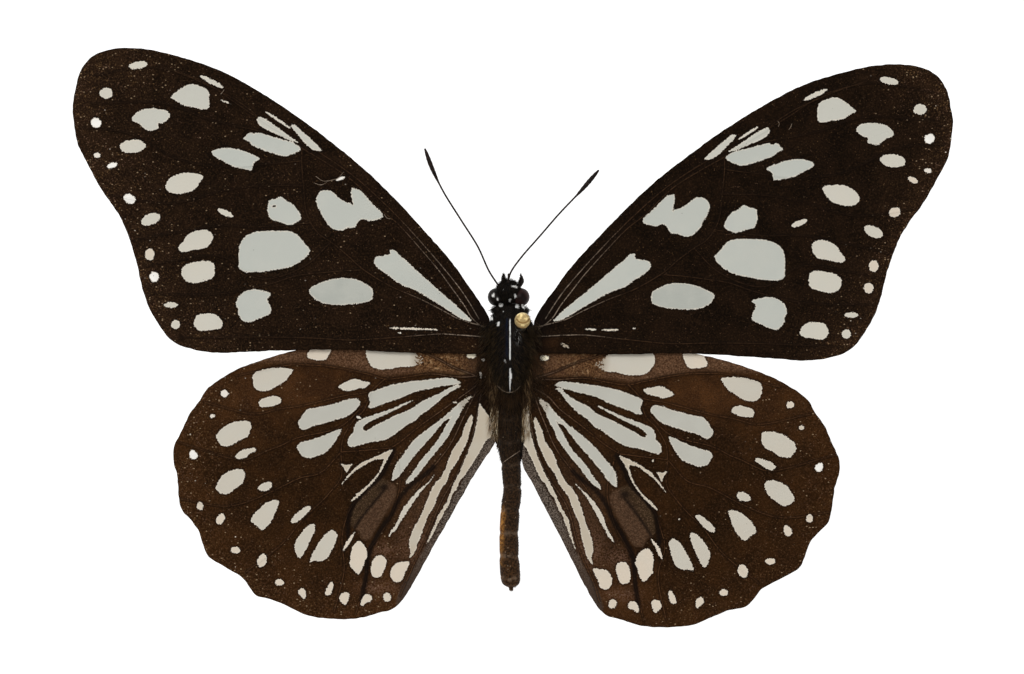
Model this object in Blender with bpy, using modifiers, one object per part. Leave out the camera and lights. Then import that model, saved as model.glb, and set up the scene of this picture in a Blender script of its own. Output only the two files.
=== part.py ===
"""A pinned butterfly specimen, spread, on its insect pin.

Metres, +Z up. The origin is the pin's point, +Y runs towards the butterfly's head and +X to its
right wings. Measures below are millimetres and become metres through MM. Body measures are taken
from the body centre, a point on the midline over the forewings' hind edge: x is the distance
from the midline (outward on a wing, to the right on the body) and y is forward.
"""

from math import cos, pi, sin, sqrt, tau

import bmesh
import bpy
import numpy as np
from mathutils import Vector
from mathutils.geometry import delaunay_2d_cdt

MM = 0.001

# Where things are
BODY_X, BODY_Y = -1.55, 0.25
THORAX_Z = 25.4
HINDWING_Z, FOREWING_Z = 25.95, 26.4
WING_RISE, WING_DROOP = 0.055, 0.0007
GAP = 0.12

# The pin
PIN_HEAD_CENTRE = Vector((-0.32, 3.17, 37.2))
PIN_HEAD_RADIUS = 0.78
PIN_RADIUS = 0.23
PIN_POINT_LENGTH = 3.0

# The wings
WING_THICKNESS = 0.2
OUTLINE_STEP = 1.1
SHEET_STEP = 3.0
FOREWING_OUTLINE = [
    # leading edge, from the root to the tip
    (2.1, 3.2), (4.0, 6.2), (6.0, 9.0), (8.5, 11.85), (11.0, 14.6), (14.0, 17.55), (17.0, 20.1),
    (21.0, 23.15), (25.0, 25.8), (29.0, 27.95), (33.0, 29.3), (36.0, 30.0), (38.5, 30.18),
    (40.5, 29.9), (42.0, 29.15), (42.9, 27.9),
    # outer margin, hollowed a little in the middle
    (43.4, 26.2), (43.7, 24.1), (43.55, 22.6), (43.15, 20.5), (42.3, 18.8), (40.8, 16.0),
    (39.2, 13.7), (38.2, 11.6), (37.3, 8.7), (36.8, 6.5), (36.2, 4.6), (35.0, 2.4),
    (33.8, 0.95), (32.0, 0.15), (29.5, -0.28),
    # hind margin, back to the hinge
    (26.0, -0.17), (21.0, 0.0), (16.0, 0.02), (11.0, -0.25), (6.0, -0.35), (2.6, -0.25),
    # root, beside the thorax
    (1.9, 0.5), (1.9, 2.0),
]
HINDWING_OUTLINE = [
    # leading edge, hidden under the forewing as far as the fifth point
    (2.1, -0.7), (3.0, -0.2), (5.0, 0.3), (9.0, 0.9), (14.0, 1.0), (18.0, 0.6), (21.5, -0.05), (24.5, -0.9),
    (27.0, -1.8), (29.0, -2.9), (30.4, -4.0),
    # outer margin, scalloped between the veins
    (31.0, -5.0), (32.0, -6.35), (32.9, -8.2), (33.6, -9.7), (33.65, -10.9), (33.3, -12.5),
    (33.1, -14.7), (32.8, -16.0), (31.9, -17.0), (31.1, -18.2), (30.7, -19.5), (30.2, -20.6),
    (29.0, -21.4), (27.8, -22.1), (26.7, -22.8), (26.0, -23.8), (25.3, -24.6), (24.0, -24.9),
    (22.0, -25.75), (20.7, -26.4), (19.8, -26.68), (16.5, -26.95), (14.5, -26.7),
    (13.0, -26.25), (11.9, -26.0),
    # inner margin, beside the abdomen
    (10.9, -25.15), (9.8, -23.5), (7.8, -19.9), (5.8, -16.4), (4.0, -13.2), (2.5, -10.8),
    (1.5, -9.2), (1.3, -7.0), (1.3, -5.0), (1.6, -3.0),
]
# The left wings lie as drawn. The right ones are their mirror image, turned back by about two
# degrees and stretched a little, because the two sides were not spread quite alike. Each new
# measure is its pair of factors times (x, y), and then the shift is added.
RIGHT_FOREWING = dict(outward=(0.993, 0.020), forward=(-0.032, 0.981), shift=(0.39, 0.16))
RIGHT_HINDWING = dict(outward=(1.027, 0.053), forward=(-0.034, 1.003), shift=(-1.07, -0.15))

# The body
TURNED_STEPS = 20
THORAX_FRONT, THORAX_BACK = 4.6, -4.45
THORAX_HEIGHT_RATIO = 1.28
THORAX_PROFILE = [
    # (y, half width), from the collar to the waist
    (4.6, 0.0), (4.56, 0.8), (4.35, 1.3), (3.7, 1.62), (2.6, 1.92), (1.2, 2.08), (-0.4, 2.05),
    (-1.9, 1.85), (-3.2, 1.5), (-4.1, 1.0), (-4.42, 0.5), (-4.45, 0.0),
]
HEAD_CENTRE = Vector((-0.15, 5.85, 26.0))
HEAD_RADII = Vector((1.22, 1.14, 1.25))
EYE_CENTRES = {"left_eye": (-1.37, 5.3, 25.95), "right_eye": (1.1, 5.3, 25.95)}
EYE_RADII = (0.86, 0.9, 1.05)
ABDOMEN_LENGTH = 19.65
ABDOMEN_START_Y = THORAX_BACK - GAP
ABDOMEN_PROFILE = [
    # (distance from the waist, half width)
    (0.0, 0.0), (0.05, 0.7), (0.5, 1.15), (1.9, 1.3), (4.3, 1.27), (6.2, 1.04), (8.7, 0.92),
    (11.6, 0.95), (15.5, 0.96), (18.0, 1.0), (18.6, 0.94), (18.95, 0.8), (19.2, 0.45), (19.3, 0.24),
    (19.6, 0.18), (19.65, 0.0),
]
ABDOMEN_SWAY = [
    # (distance from the waist, sideways shift of the middle line)
    (0.0, -0.05), (4.8, -0.07), (6.8, 0.1), (9.7, 0.24), (11.6, -0.0), (14.0, -0.12), (16.5, -0.08),
    (19.65, 0.13),
]
ABDOMEN_DROP = 1.1
ABDOMEN_STEPS = 16
SEGMENT_LENGTH = 2.3
SEGMENT_GROOVE = 0.06
GROOVED_STRETCH = (1.2, 18.2)

# Thin limbs, each a line of points (x, y, z) with a radius that changes along it
ANTENNA_RADIUS, CLUB_RADIUS, CLUB_SHARE = 0.09, 0.23, 0.24
LEFT_ANTENNA = [
    (-1.2, 6.5, 27.35), (-2.1, 7.9, 27.5), (-3.2, 10.3, 27.6), (-4.9, 13.0, 27.8), (-6.7, 15.9, 27.8),
    (-7.8, 18.2, 27.7), (-8.5, 20.1, 27.5),
]
RIGHT_ANTENNA = [
    (-0.2, 6.75, 27.2), (0.05, 7.7, 27.4), (1.0, 9.1, 27.6), (3.0, 11.4, 27.8), (5.0, 13.7, 27.9),
    (7.0, 15.8, 27.8), (8.3, 17.3, 27.7), (8.85, 17.95, 27.6),
]
LEFT_PALP = [(-0.72, 6.55, 24.55), (-0.82, 7.1, 25.0), (-0.8, 7.4, 26.0), (-0.7, 7.62, 26.9)]
RIGHT_PALP = [(0.5, 6.6, 24.55), (0.9, 7.0, 25.0), (1.1, 7.3, 26.0), (1.05, 7.62, 26.9)]
LIMBS = {
    # left-hand legs: (points, radii at the points)
    "foreleg": (
        [(0.45, 3.0, 22.75), (0.95, 3.9, 22.2), (1.3, 3.3, 21.4), (0.9, 1.9, 21.1)],
        [0.26, 0.22, 0.15, 0.08],
    ),
    "middle_leg": (
        [
            (0.65, 0.5, 22.4), (2.3, 1.0, 21.7), (3.6, 1.7, 21.5), (3.4, 0.7, 21.0),
            (2.7, -1.6, 20.3), (2.3, -3.2, 19.9), (2.1, -4.9, 19.9),
        ],
        [0.3, 0.25, 0.17, 0.14, 0.12, 0.1, 0.06],
    ),
    "hind_leg": (
        [
            (0.65, -1.1, 22.4), (1.9, -2.3, 21.9), (3.1, -3.4, 21.6), (2.9, -4.6, 21.2),
            (2.1, -7.2, 20.6), (1.7, -9.0, 20.3), (1.35, -11.0, 20.4),
        ],
        [0.3, 0.25, 0.17, 0.14, 0.12, 0.1, 0.06],
    ),
}
PROBOSCIS_TURNS = 2.6
PROBOSCIS_RADIUS = 0.1
PROBOSCIS_PITCH = 0.3
PROBOSCIS_CENTRE = (-0.15, 7.0, 24.0)


def metres(x, y, z):
    """A point given from the body centre in millimetres, z above the pin's point."""
    return Vector((BODY_X + x, BODY_Y + y, z)) * MM


def clear_scene():
    for thing in list(bpy.data.objects):
        bpy.data.objects.remove(thing)


def collection(name):
    made = bpy.data.collections.new(name)
    bpy.context.scene.collection.children.link(made)
    return made


def material(name, colour, roughness, metallic=0.0):
    made = bpy.data.materials.new(name)
    made.use_nodes = True
    shader = made.node_tree.nodes["Principled BSDF"]
    shader.inputs["Base Color"].default_value = (*colour, 1.0)
    shader.inputs["Roughness"].default_value = roughness
    shader.inputs["Metallic"].default_value = metallic
    made.diffuse_color = (*colour, 1.0)
    return made


def add(name, data, finish, where):
    made = bpy.data.objects.new(name, data)
    data.materials.append(finish)
    where.objects.link(made)
    return made


def smooth_line(points, step, closed=False):
    """Points about one step apart on a centripetal Catmull-Rom curve through the given ones."""
    p = np.array(points, float)
    if closed:
        p = np.vstack([p[-1:], p, p[:2]])
    else:
        p = np.vstack([2 * p[0] - p[1], p, 2 * p[-1] - p[-2]])
    made = []
    for a, b, c, d in zip(p, p[1:], p[2:], p[3:]):
        knots = np.cumsum([0.0] + [sqrt(np.linalg.norm(v - u)) for u, v in ((a, b), (b, c), (c, d))])
        count = max(1, round(np.linalg.norm(c - b) / step))
        for t in np.linspace(knots[1], knots[2], count, endpoint=False):
            ab = a + (b - a) * (t - knots[0]) / (knots[1] - knots[0])
            bc = b + (c - b) * (t - knots[1]) / (knots[2] - knots[1])
            cd = c + (d - c) * (t - knots[2]) / (knots[3] - knots[2])
            abc = ab + (bc - ab) * (t - knots[0]) / (knots[2] - knots[0])
            bcd = bc + (cd - bc) * (t - knots[1]) / (knots[3] - knots[1])
            made.append(abc + (bcd - abc) * (t - knots[1]) / (knots[2] - knots[1]))
    if not closed:
        made.append(p[-2])
    return np.array(made)


def turned(name, profile, finish, where, steps=TURNED_STEPS):
    """A solid turned about its own Z axis from (height, radius) pairs given from the top down."""
    data = bpy.data.meshes.new(name)
    corners = [(radius * MM, 0.0, height * MM) for height, radius in profile]
    data.from_pydata(corners, [(i, i + 1) for i in range(len(corners) - 1)], [])
    made = add(name, data, finish, where)
    screw = made.modifiers.new("turn", "SCREW")
    screw.steps = screw.render_steps = steps
    screw.use_merge_vertices = True
    screw.merge_threshold = 1e-6
    screw.use_smooth_shade = True
    return made


def cutter(shape, where):
    shape.hide_render = True
    shape.display_type = "WIRE"
    where.objects.link(shape)
    return shape


def cut(body, tool):
    boolean = body.modifiers.new("cut by " + tool.name, "BOOLEAN")
    boolean.operation = "DIFFERENCE"
    boolean.object = tool


def ellipsoid(name, centre, radii, segments=20, rings=12):
    """An ellipsoid object, its size in its mesh, linked nowhere yet."""
    data = bpy.data.meshes.new(name)
    shape = bmesh.new()
    bmesh.ops.create_uvsphere(shape, u_segments=segments, v_segments=rings, radius=MM)
    bmesh.ops.scale(shape, vec=radii, verts=shape.verts)
    shape.to_mesh(data)
    shape.free()
    data.shade_smooth()
    made = bpy.data.objects.new(name, data)
    made.location = metres(*centre)
    return made


def limb(name, points, radii, finish, where, step=0.6, sides=1):
    """A tapering rod along a smooth curve, with the radius at each point carried evenly between them."""
    line = smooth_line([(*p, r) for p, r in zip(points, radii)], step)
    data = bpy.data.curves.new(name, "CURVE")
    data.dimensions = "3D"
    data.bevel_depth = MM
    data.bevel_resolution = sides
    data.use_fill_caps = True
    spline = data.splines.new("POLY")
    spline.points.add(len(line) - 1)
    for point, (x, y, z, radius) in zip(spline.points, line):
        point.co = (*metres(x, y, z), 1.0)
        point.radius = max(radius, 0.03)
    return add(name, data, finish, where)


# Wings


def right_side(outline, outward, forward, shift):
    """The left wing's outline as the right wing has it, still measured outward from the midline."""
    return outline @ np.array([outward, forward]).T + shift


def body_half_width(y):
    """How far from the midline the body reaches at a place along it."""
    if y > THORAX_BACK:
        stations = THORAX_PROFILE[::-1]
        return float(np.interp(y, [s[0] for s in stations], [s[1] for s in stations]))
    along = ABDOMEN_START_Y - y
    width = np.interp(along, *zip(*ABDOMEN_PROFILE))
    sway = np.interp(along, *zip(*ABDOMEN_SWAY))
    return float(width + abs(sway))


def clear_of_body(outline):
    """Moves the root of a wing outward where it would touch the body."""
    nearest = np.array([body_half_width(y) + GAP for y in outline[:, 1]])
    return np.column_stack([np.maximum(outline[:, 0], nearest), outline[:, 1]])


def inside(points, outline):
    """True for each point inside the closed outline, by counting crossings."""
    x, y = points[:, :1], points[:, 1:]
    (x0, y0), (x1, y1) = outline.T, np.roll(outline, -1, axis=0).T
    straddles = (y0 > y) != (y1 > y)
    rise = np.where(y1 == y0, 1e-12, y1 - y0)
    crossings = straddles & (x < x0 + (x1 - x0) * (y - y0) / rise)
    return crossings.sum(axis=1) % 2 == 1


def sheet_points(outline, step):
    """A triangular grid inside the outline, kept about half a step away from it."""
    low, high = outline.min(axis=0), outline.max(axis=0)
    rows = np.arange(low[1], high[1], step * sqrt(3) / 2)
    grid = np.array(
        [
            (x, y)
            for n, y in enumerate(rows)
            for x in np.arange(low[0] + (n % 2) * step / 2, high[0], step)
        ]
    )
    grid = grid[inside(grid, outline)]
    to_edge = np.linalg.norm(grid[:, None] - outline[None], axis=2).min(axis=1)
    return grid[to_edge > 0.5 * step]


def wing_height(x, root_z):
    """Wings rise gently from the hinge and arch over towards the tip."""
    return root_z + WING_RISE * x - WING_DROOP * x * x


def wing(name, outline, side, root_z, finish, where):
    edge = clear_of_body(outline)
    keep = np.linalg.norm(edge - np.roll(edge, 1, axis=0), axis=1) > 0.2
    edge = edge[keep]
    points = np.vstack([edge, sheet_points(edge, SHEET_STEP)])
    flat = [Vector((side * x, y)) for x, y in points]
    loop = list(range(len(edge)))
    corners, _, faces, *_ = delaunay_2d_cdt(flat, [], [loop], 1, 1e-5)
    data = bpy.data.meshes.new(name)
    data.from_pydata(
        [metres(x, y, wing_height(abs(x), root_z)) for x, y in corners], [], faces
    )
    made = add(name, data, finish, where)
    thick = made.modifiers.new("membrane", "SOLIDIFY")
    thick.thickness = WING_THICKNESS * MM
    thick.offset = 0.0
    return made


def make_wings(finish, where):
    pairs = (
        ("forewing", FOREWING_OUTLINE, RIGHT_FOREWING, FOREWING_Z),
        ("hindwing", HINDWING_OUTLINE, RIGHT_HINDWING, HINDWING_Z),
    )
    for kind, corners, placing, root_z in pairs:
        outline = smooth_line(corners, OUTLINE_STEP, closed=True)
        wing("left_" + kind, outline, -1, root_z, finish[kind], where)
        wing("right_" + kind, right_side(outline, **placing), 1, root_z, finish[kind], where)


# Body


def make_thorax(bore, finish, where):
    profile = smooth_line(THORAX_PROFILE, 0.45)
    profile[:, 1] = np.maximum(profile[:, 1], 0.0)
    profile[[0, -1], 1] = 0.0
    thorax = turned("thorax", profile, finish, where)
    thorax.location = metres(0, 0, THORAX_Z)
    thorax.rotation_euler = (-pi / 2, 0, 0)
    thorax.scale = (1, THORAX_HEIGHT_RATIO, 1)
    cut(thorax, bore)


def make_head(finish, where, helpers):
    head = ellipsoid("head", HEAD_CENTRE, HEAD_RADII)
    head.data.materials.append(finish["body"])
    where.objects.link(head)
    socket = cutter(
        ellipsoid("eye_socket", HEAD_CENTRE, HEAD_RADII + Vector((GAP, GAP, GAP)) * 0.5), helpers
    )
    for name, centre in EYE_CENTRES.items():
        eye = ellipsoid(name, centre, EYE_RADII)
        eye.data.materials.append(finish["eye"])
        where.objects.link(eye)
        cut(eye, socket)


def make_abdomen(finish, where):
    """A turned body with a groove between segments, bent to the line that it dried in."""
    along, width = smooth_line(ABDOMEN_PROFILE, 0.42).T
    grooves = SEGMENT_GROOVE * np.cos(tau * along / SEGMENT_LENGTH).clip(0) ** 2
    first, last = GROOVED_STRETCH
    width = (width - np.where((along > first) & (along < last), grooves, 0)).clip(0)
    width[[0, -1]] = 0.0
    shape = bmesh.new()
    ring = [shape.verts.new((w, -a, 0.0)) for a, w in zip(along, width)]
    edges = [shape.edges.new(pair) for pair in zip(ring, ring[1:])]
    bmesh.ops.spin(
        shape,
        geom=ring + edges,
        axis=(0, 1, 0),
        cent=(0, 0, 0),
        angle=tau,
        steps=ABDOMEN_STEPS,
        use_merge=True,
    )
    bmesh.ops.remove_doubles(shape, verts=shape.verts, dist=1e-4)
    for corner in shape.verts:
        x, y, z = corner.co
        sway = np.interp(-y, *zip(*ABDOMEN_SWAY))
        drop = ABDOMEN_DROP * (y / ABDOMEN_LENGTH) ** 2
        corner.co = metres(x + sway, ABDOMEN_START_Y + y, THORAX_Z + z - drop)
    bmesh.ops.recalc_face_normals(shape, faces=shape.faces)
    data = bpy.data.meshes.new("abdomen")
    shape.to_mesh(data)
    shape.free()
    data.shade_smooth()
    add("abdomen", data, finish, where)


def make_antennae(finish, where):
    for name, points in (("left_antenna", LEFT_ANTENNA), ("right_antenna", RIGHT_ANTENNA)):
        line = smooth_line(points, 0.75)
        share = np.linspace(0, 1, len(line))
        club = np.clip((share - 1 + CLUB_SHARE) / CLUB_SHARE, 0, 1)
        radii = ANTENNA_RADIUS + (CLUB_RADIUS - ANTENNA_RADIUS) * np.sin(pi * club**1.2) ** 0.8
        limb(name, line, radii, finish, where, step=10.0)


def make_mouthparts(finish, where):
    for name, points in (("left_palp", LEFT_PALP), ("right_palp", RIGHT_PALP)):
        limb(name, points, [0.2, 0.3, 0.24, 0.04], finish, where, step=0.35)
    turns = np.linspace(0.35, PROBOSCIS_TURNS, round(PROBOSCIS_TURNS * 14))
    x, y, z = PROBOSCIS_CENTRE
    spiral = [
        (x, y + PROBOSCIS_PITCH * t * cos(tau * t), z + PROBOSCIS_PITCH * t * sin(tau * t))
        for t in turns
    ]
    limb("proboscis", spiral, [PROBOSCIS_RADIUS] * len(spiral), finish, where, step=10.0)


def make_legs(finish, where):
    for kind, (points, radii) in LIMBS.items():
        for side, word in ((-1, "left_"), (1, "right_")):
            mirrored = [(side * x, y, z) for x, y, z in points]
            limb(word + kind, mirrored, radii, finish, where, step=0.9)


# Pin


def make_pin(finish, where, helpers):
    """The shaft, the ball on its end, and the bore that the shaft needs through the thorax."""
    lean = PIN_HEAD_CENTRE.to_track_quat("Z", "Y").to_euler()
    to_head = PIN_HEAD_CENTRE.length
    seat = sqrt(PIN_HEAD_RADIUS**2 - PIN_RADIUS**2) + GAP / 2
    shaft = turned(
        "pin_shaft",
        [
            (to_head - seat, 0.0), (to_head - seat, PIN_RADIUS), (PIN_POINT_LENGTH, PIN_RADIUS),
            (PIN_POINT_LENGTH / 2, PIN_RADIUS * 0.6), (0.0, PIN_RADIUS * 0.12), (0.0, 0.0),
        ],
        finish["steel"],
        where,
        steps=12,
    )
    shaft.rotation_euler = lean
    ball = bpy.data.meshes.new("pin_head")
    shape = bmesh.new()
    bmesh.ops.create_uvsphere(shape, u_segments=20, v_segments=12, radius=PIN_HEAD_RADIUS * MM)
    shape.to_mesh(ball)
    shape.free()
    ball.shade_smooth()
    add("pin_head", ball, finish["brass"], where).location = PIN_HEAD_CENTRE * MM
    tool = bpy.data.meshes.new("pin_bore")
    shape = bmesh.new()
    bmesh.ops.create_cone(
        shape,
        cap_ends=True,
        segments=12,
        radius1=(PIN_RADIUS + GAP / 2) * MM,
        radius2=(PIN_RADIUS + GAP / 2) * MM,
        depth=12 * MM,
    )
    shape.to_mesh(tool)
    shape.free()
    bore = cutter(bpy.data.objects.new("pin_bore", tool), helpers)
    bore.location = PIN_HEAD_CENTRE * (THORAX_Z / PIN_HEAD_CENTRE.z) * MM
    bore.rotation_euler = lean
    return bore


def main():
    clear_scene()
    where = collection("pinned_butterfly")
    helpers = collection("cutters")
    finish = {
        "forewing": material("forewing_scales", (0.016, 0.010, 0.006), 0.6),
        "hindwing": material("hindwing_scales", (0.030, 0.016, 0.008), 0.6),
        "body": material("body_scales", (0.012, 0.010, 0.008), 0.7),
        "eye": material("eye", (0.020, 0.010, 0.010), 0.25),
        "limb": material("limb", (0.012, 0.010, 0.009), 0.5),
        "brass": material("gilt_head", (0.62, 0.42, 0.16), 0.3, 1.0),
        "steel": material("pin_steel", (0.45, 0.42, 0.38), 0.3, 1.0),
    }
    bore = make_pin(finish, where, helpers)
    make_thorax(bore, finish["body"], where)
    make_head(finish, where, helpers)
    make_abdomen(finish["body"], where)
    make_antennae(finish["limb"], where)
    make_mouthparts(finish["limb"], where)
    make_legs(finish["limb"], where)
    make_wings(finish, where)


main()
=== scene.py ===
"""The looks of a pinned butterfly: scaled wings with pale markings, hair, eyes, limbs and the pin.

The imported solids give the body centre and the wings' outlines and heights. Measures below are
millimetres and become metres through MM, save the stage's. Wing measures are (outward, forward)
from the body centre, which lies on the midline over the forewings' hind edge, and are those of
the left wings. Colours are sRGB, 0 to 255, save the stage's.
"""

from math import cos, pi, radians, sin, sqrt, tau

import bmesh
import bpy
import numpy as np
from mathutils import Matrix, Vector
from mathutils.geometry import delaunay_2d_cdt
from mathutils.kdtree import KDTree


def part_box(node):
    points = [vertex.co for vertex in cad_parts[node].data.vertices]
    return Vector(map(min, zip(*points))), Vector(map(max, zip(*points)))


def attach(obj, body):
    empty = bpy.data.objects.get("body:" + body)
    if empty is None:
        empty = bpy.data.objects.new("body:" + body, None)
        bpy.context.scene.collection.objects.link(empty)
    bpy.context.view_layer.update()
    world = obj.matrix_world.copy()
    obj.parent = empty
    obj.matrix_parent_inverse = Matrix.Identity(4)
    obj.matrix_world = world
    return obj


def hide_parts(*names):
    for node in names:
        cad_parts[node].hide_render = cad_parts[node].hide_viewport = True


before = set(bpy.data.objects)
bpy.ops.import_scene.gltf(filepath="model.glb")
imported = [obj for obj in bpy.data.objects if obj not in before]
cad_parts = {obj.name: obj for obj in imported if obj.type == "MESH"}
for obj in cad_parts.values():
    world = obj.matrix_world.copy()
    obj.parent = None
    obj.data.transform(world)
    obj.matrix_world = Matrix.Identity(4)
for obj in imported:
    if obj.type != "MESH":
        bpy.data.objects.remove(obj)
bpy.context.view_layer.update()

MM = 0.001

# The body centre, from the thorax solid
THORAX_FRONT = 4.6
BODY_X = sum(corner.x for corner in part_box("thorax")) / 2 / MM
BODY_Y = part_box("thorax")[1].y / MM - THORAX_FRONT

# The photograph's frame, on the plane of the wings
PICTURE_WIDTH = 102.4
PICTURE_CENTRE = (0.2, 1.3)
WING_PLANE = 26.9

# Wings
WING_STEP = 0.2
WING_THICKNESS = 0.1
MARGIN_ROUGHNESS = 0.025
VEIN_RIDGE = 0.05
SHEET_WAVE = 0.07
# How the right wings' markings lie to the mirrored left ones: where the two axes point, a shift,
# and strays, (place, shift, reach), where some lie off the mirrored places
RIGHT_FOREWING = dict(
    outward=(0.993, 0.020), forward=(-0.032, 0.981), shift=(0.39, 0.16), strays=(),
)
RIGHT_HINDWING = dict(
    outward=(1.027, 0.053), forward=(-0.034, 1.003), shift=(-1.07, -0.15),
    strays=(
        ((5.0, -3.6), (0.7, 0.1), 1.4), ((9.5, -0.6), (0.85, 0.0), 2.3),
        ((14.2, -0.6), (0.8, 0.0), 2.3), ((12.6, -11.0), (0.55, 0.0), 2.2),
        ((14.6, -14.6), (0.45, -0.25), 2.2), ((7.0, -15.5), (0.45, 0.0), 3.2),
        ((10.8, -22.3), (0.3, -0.2), 1.6), ((16.2, -19.0), (0.35, 0.0), 1.5),
    ),
)
# How strongly the scales are worn at the margin, and how far inward that reaches
WEAR = {
    "left_forewing": (1.05, 6.0), "right_forewing": (1.0, 2.6),
    "left_hindwing": (1.0, 5.5), "right_hindwing": (0.65, 5.5),
}
# Distances from edges are measured up to REACH, and are FAR beyond it
FAR = 9.0
REACH = 1.5
# The corners of the sheets: steps along markings and veins, guide lines beside them, least gaps
MARKING_STEP = 0.18
VEIN_STEP = 0.22
LINE_STEP = 0.4
EDGE_GUIDES = (0, 0.06, 0.13, -0.09)
VEIN_GUIDES = (0, 0.11, -0.11)
GUIDE_GAP = 0.05
CORNER_GAP = 0.1

# Tones of the pale markings
DULL, GREY, WARM, WHITE, CREAM, SAND, TAN, STRAW = -0.4, 0.0, 0.4, 0.7, 1.0, 1.15, 1.3, 1.6
PALE_GREY, BRIGHT = 0.2, 0.85

# Oval markings: (outward, forward, length, width, tilt in degrees, tone)
FOREWING_OVALS = [
    (37.15, 28.45, 1.9, 0.7, -10, WARM), (40.35, 25.65, 1.3, 1.1, 0, WARM),
    (41.35, 22.7, 1.1, 0.95, 30, WHITE), (37.7, 20.35, 2.6, 1.3, -5, WARM),
    (41.25, 19.45, 0.7, 0.5, 0, BRIGHT), (35.9, 13.05, 2.0, 1.1, -22, WARM),
    (36.0, 9.55, 0.95, 1.2, 0, CREAM), (33.85, 4.5, 1.4, 0.55, 0, WARM),
    (33.4, 2.55, 0.9, 0.9, 0, WARM), (28.45, 13.7, 1.7, 0.55, 25, WARM),
    (29.8, 26.8, 2.6, 0.45, 27, WARM),
]
LEFT_FOREWING_OVALS = [
    (39.75, 18.45, 1.1, 0.55, -20, WHITE), (38.0, 15.1, 1.25, 0.95, 25, WHITE),
    (35.55, 7.3, 0.95, 1.05, 0, WHITE), (28.4, 24.8, 1.0, 0.16, 21, WARM),
    (9.65, 2.12, 4.9, 0.19, 2, CREAM), (11.0, 1.7, 0.3, 0.14, 0, WARM),
    (16.95, 17.15, 1.0, 0.3, -20, WHITE), (23.2, 23.0, 3.0, 0.25, 34, WARM),
]
RIGHT_FOREWING_OVALS = [
    (39.75, 18.45, 1.1, 0.55, -20, CREAM), (38.0, 15.1, 1.25, 0.95, 25, CREAM),
    (35.55, 7.3, 0.95, 1.05, 0, CREAM), (7.75, 2.2, 1.2, 0.17, 0, WARM),
    (9.65, 2.2, 1.8, 0.2, 2, CREAM), (23.15, 22.7, 2.4, 0.25, 34, WARM),
    (12.0, 2.45, 0.4, 0.16, 0, WARM), (5.15, 0.45, 1.0, 0.3, -25, TAN),
]
# Dark holes in the forewings' markings: (outward, forward, length, width, tilt)
FOREWING_HOLES = [(23.55, 14.35, 0.36, 0.2, -15)]
HINDWING_OVALS = [
    (31.0, -15.6, 0.65, 0.8, 0, CREAM), (28.95, -16.9, 1.15, 0.75, -60, CREAM),
    (27.45, -20.0, 0.95, 0.65, 0, CREAM), (24.8, -21.05, 1.35, 0.9, -70, CREAM),
    (23.05, -23.25, 0.85, 0.65, 0, CREAM), (12.3, -24.75, 0.9, 0.8, 90, CREAM),
]
LEFT_HINDWING_OVALS = [
    (28.55, -4.35, 0.75, 0.7, 0, BRIGHT), (29.75, -6.6, 0.5, 0.4, 0, BRIGHT),
    (2.7, -1.0, 0.34, 0.3, 0, WHITE), (2.95, -2.5, 0.7, 0.2, 85, WHITE),
    (15.15, -6.72, 0.45, 0.26, 20, BRIGHT), (3.85, -0.55, 1.0, 0.6, 0, STRAW),
    (5.5, -5.25, 0.44, 0.17, 0, CREAM), (2.55, -2.65, 0.16, 0.16, 0, WHITE),
]
RIGHT_HINDWING_OVALS = [
    (28.55, -4.35, 0.75, 0.7, 0, CREAM), (29.75, -6.6, 0.5, 0.4, 0, SAND),
    (4.4, -0.5, 0.9, 0.55, 0, STRAW), (18.3, -16.1, 0.2, 0.15, 0, TAN),
    (15.4, -10.4, 0.2, 0.15, 60, TAN),
]

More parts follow.
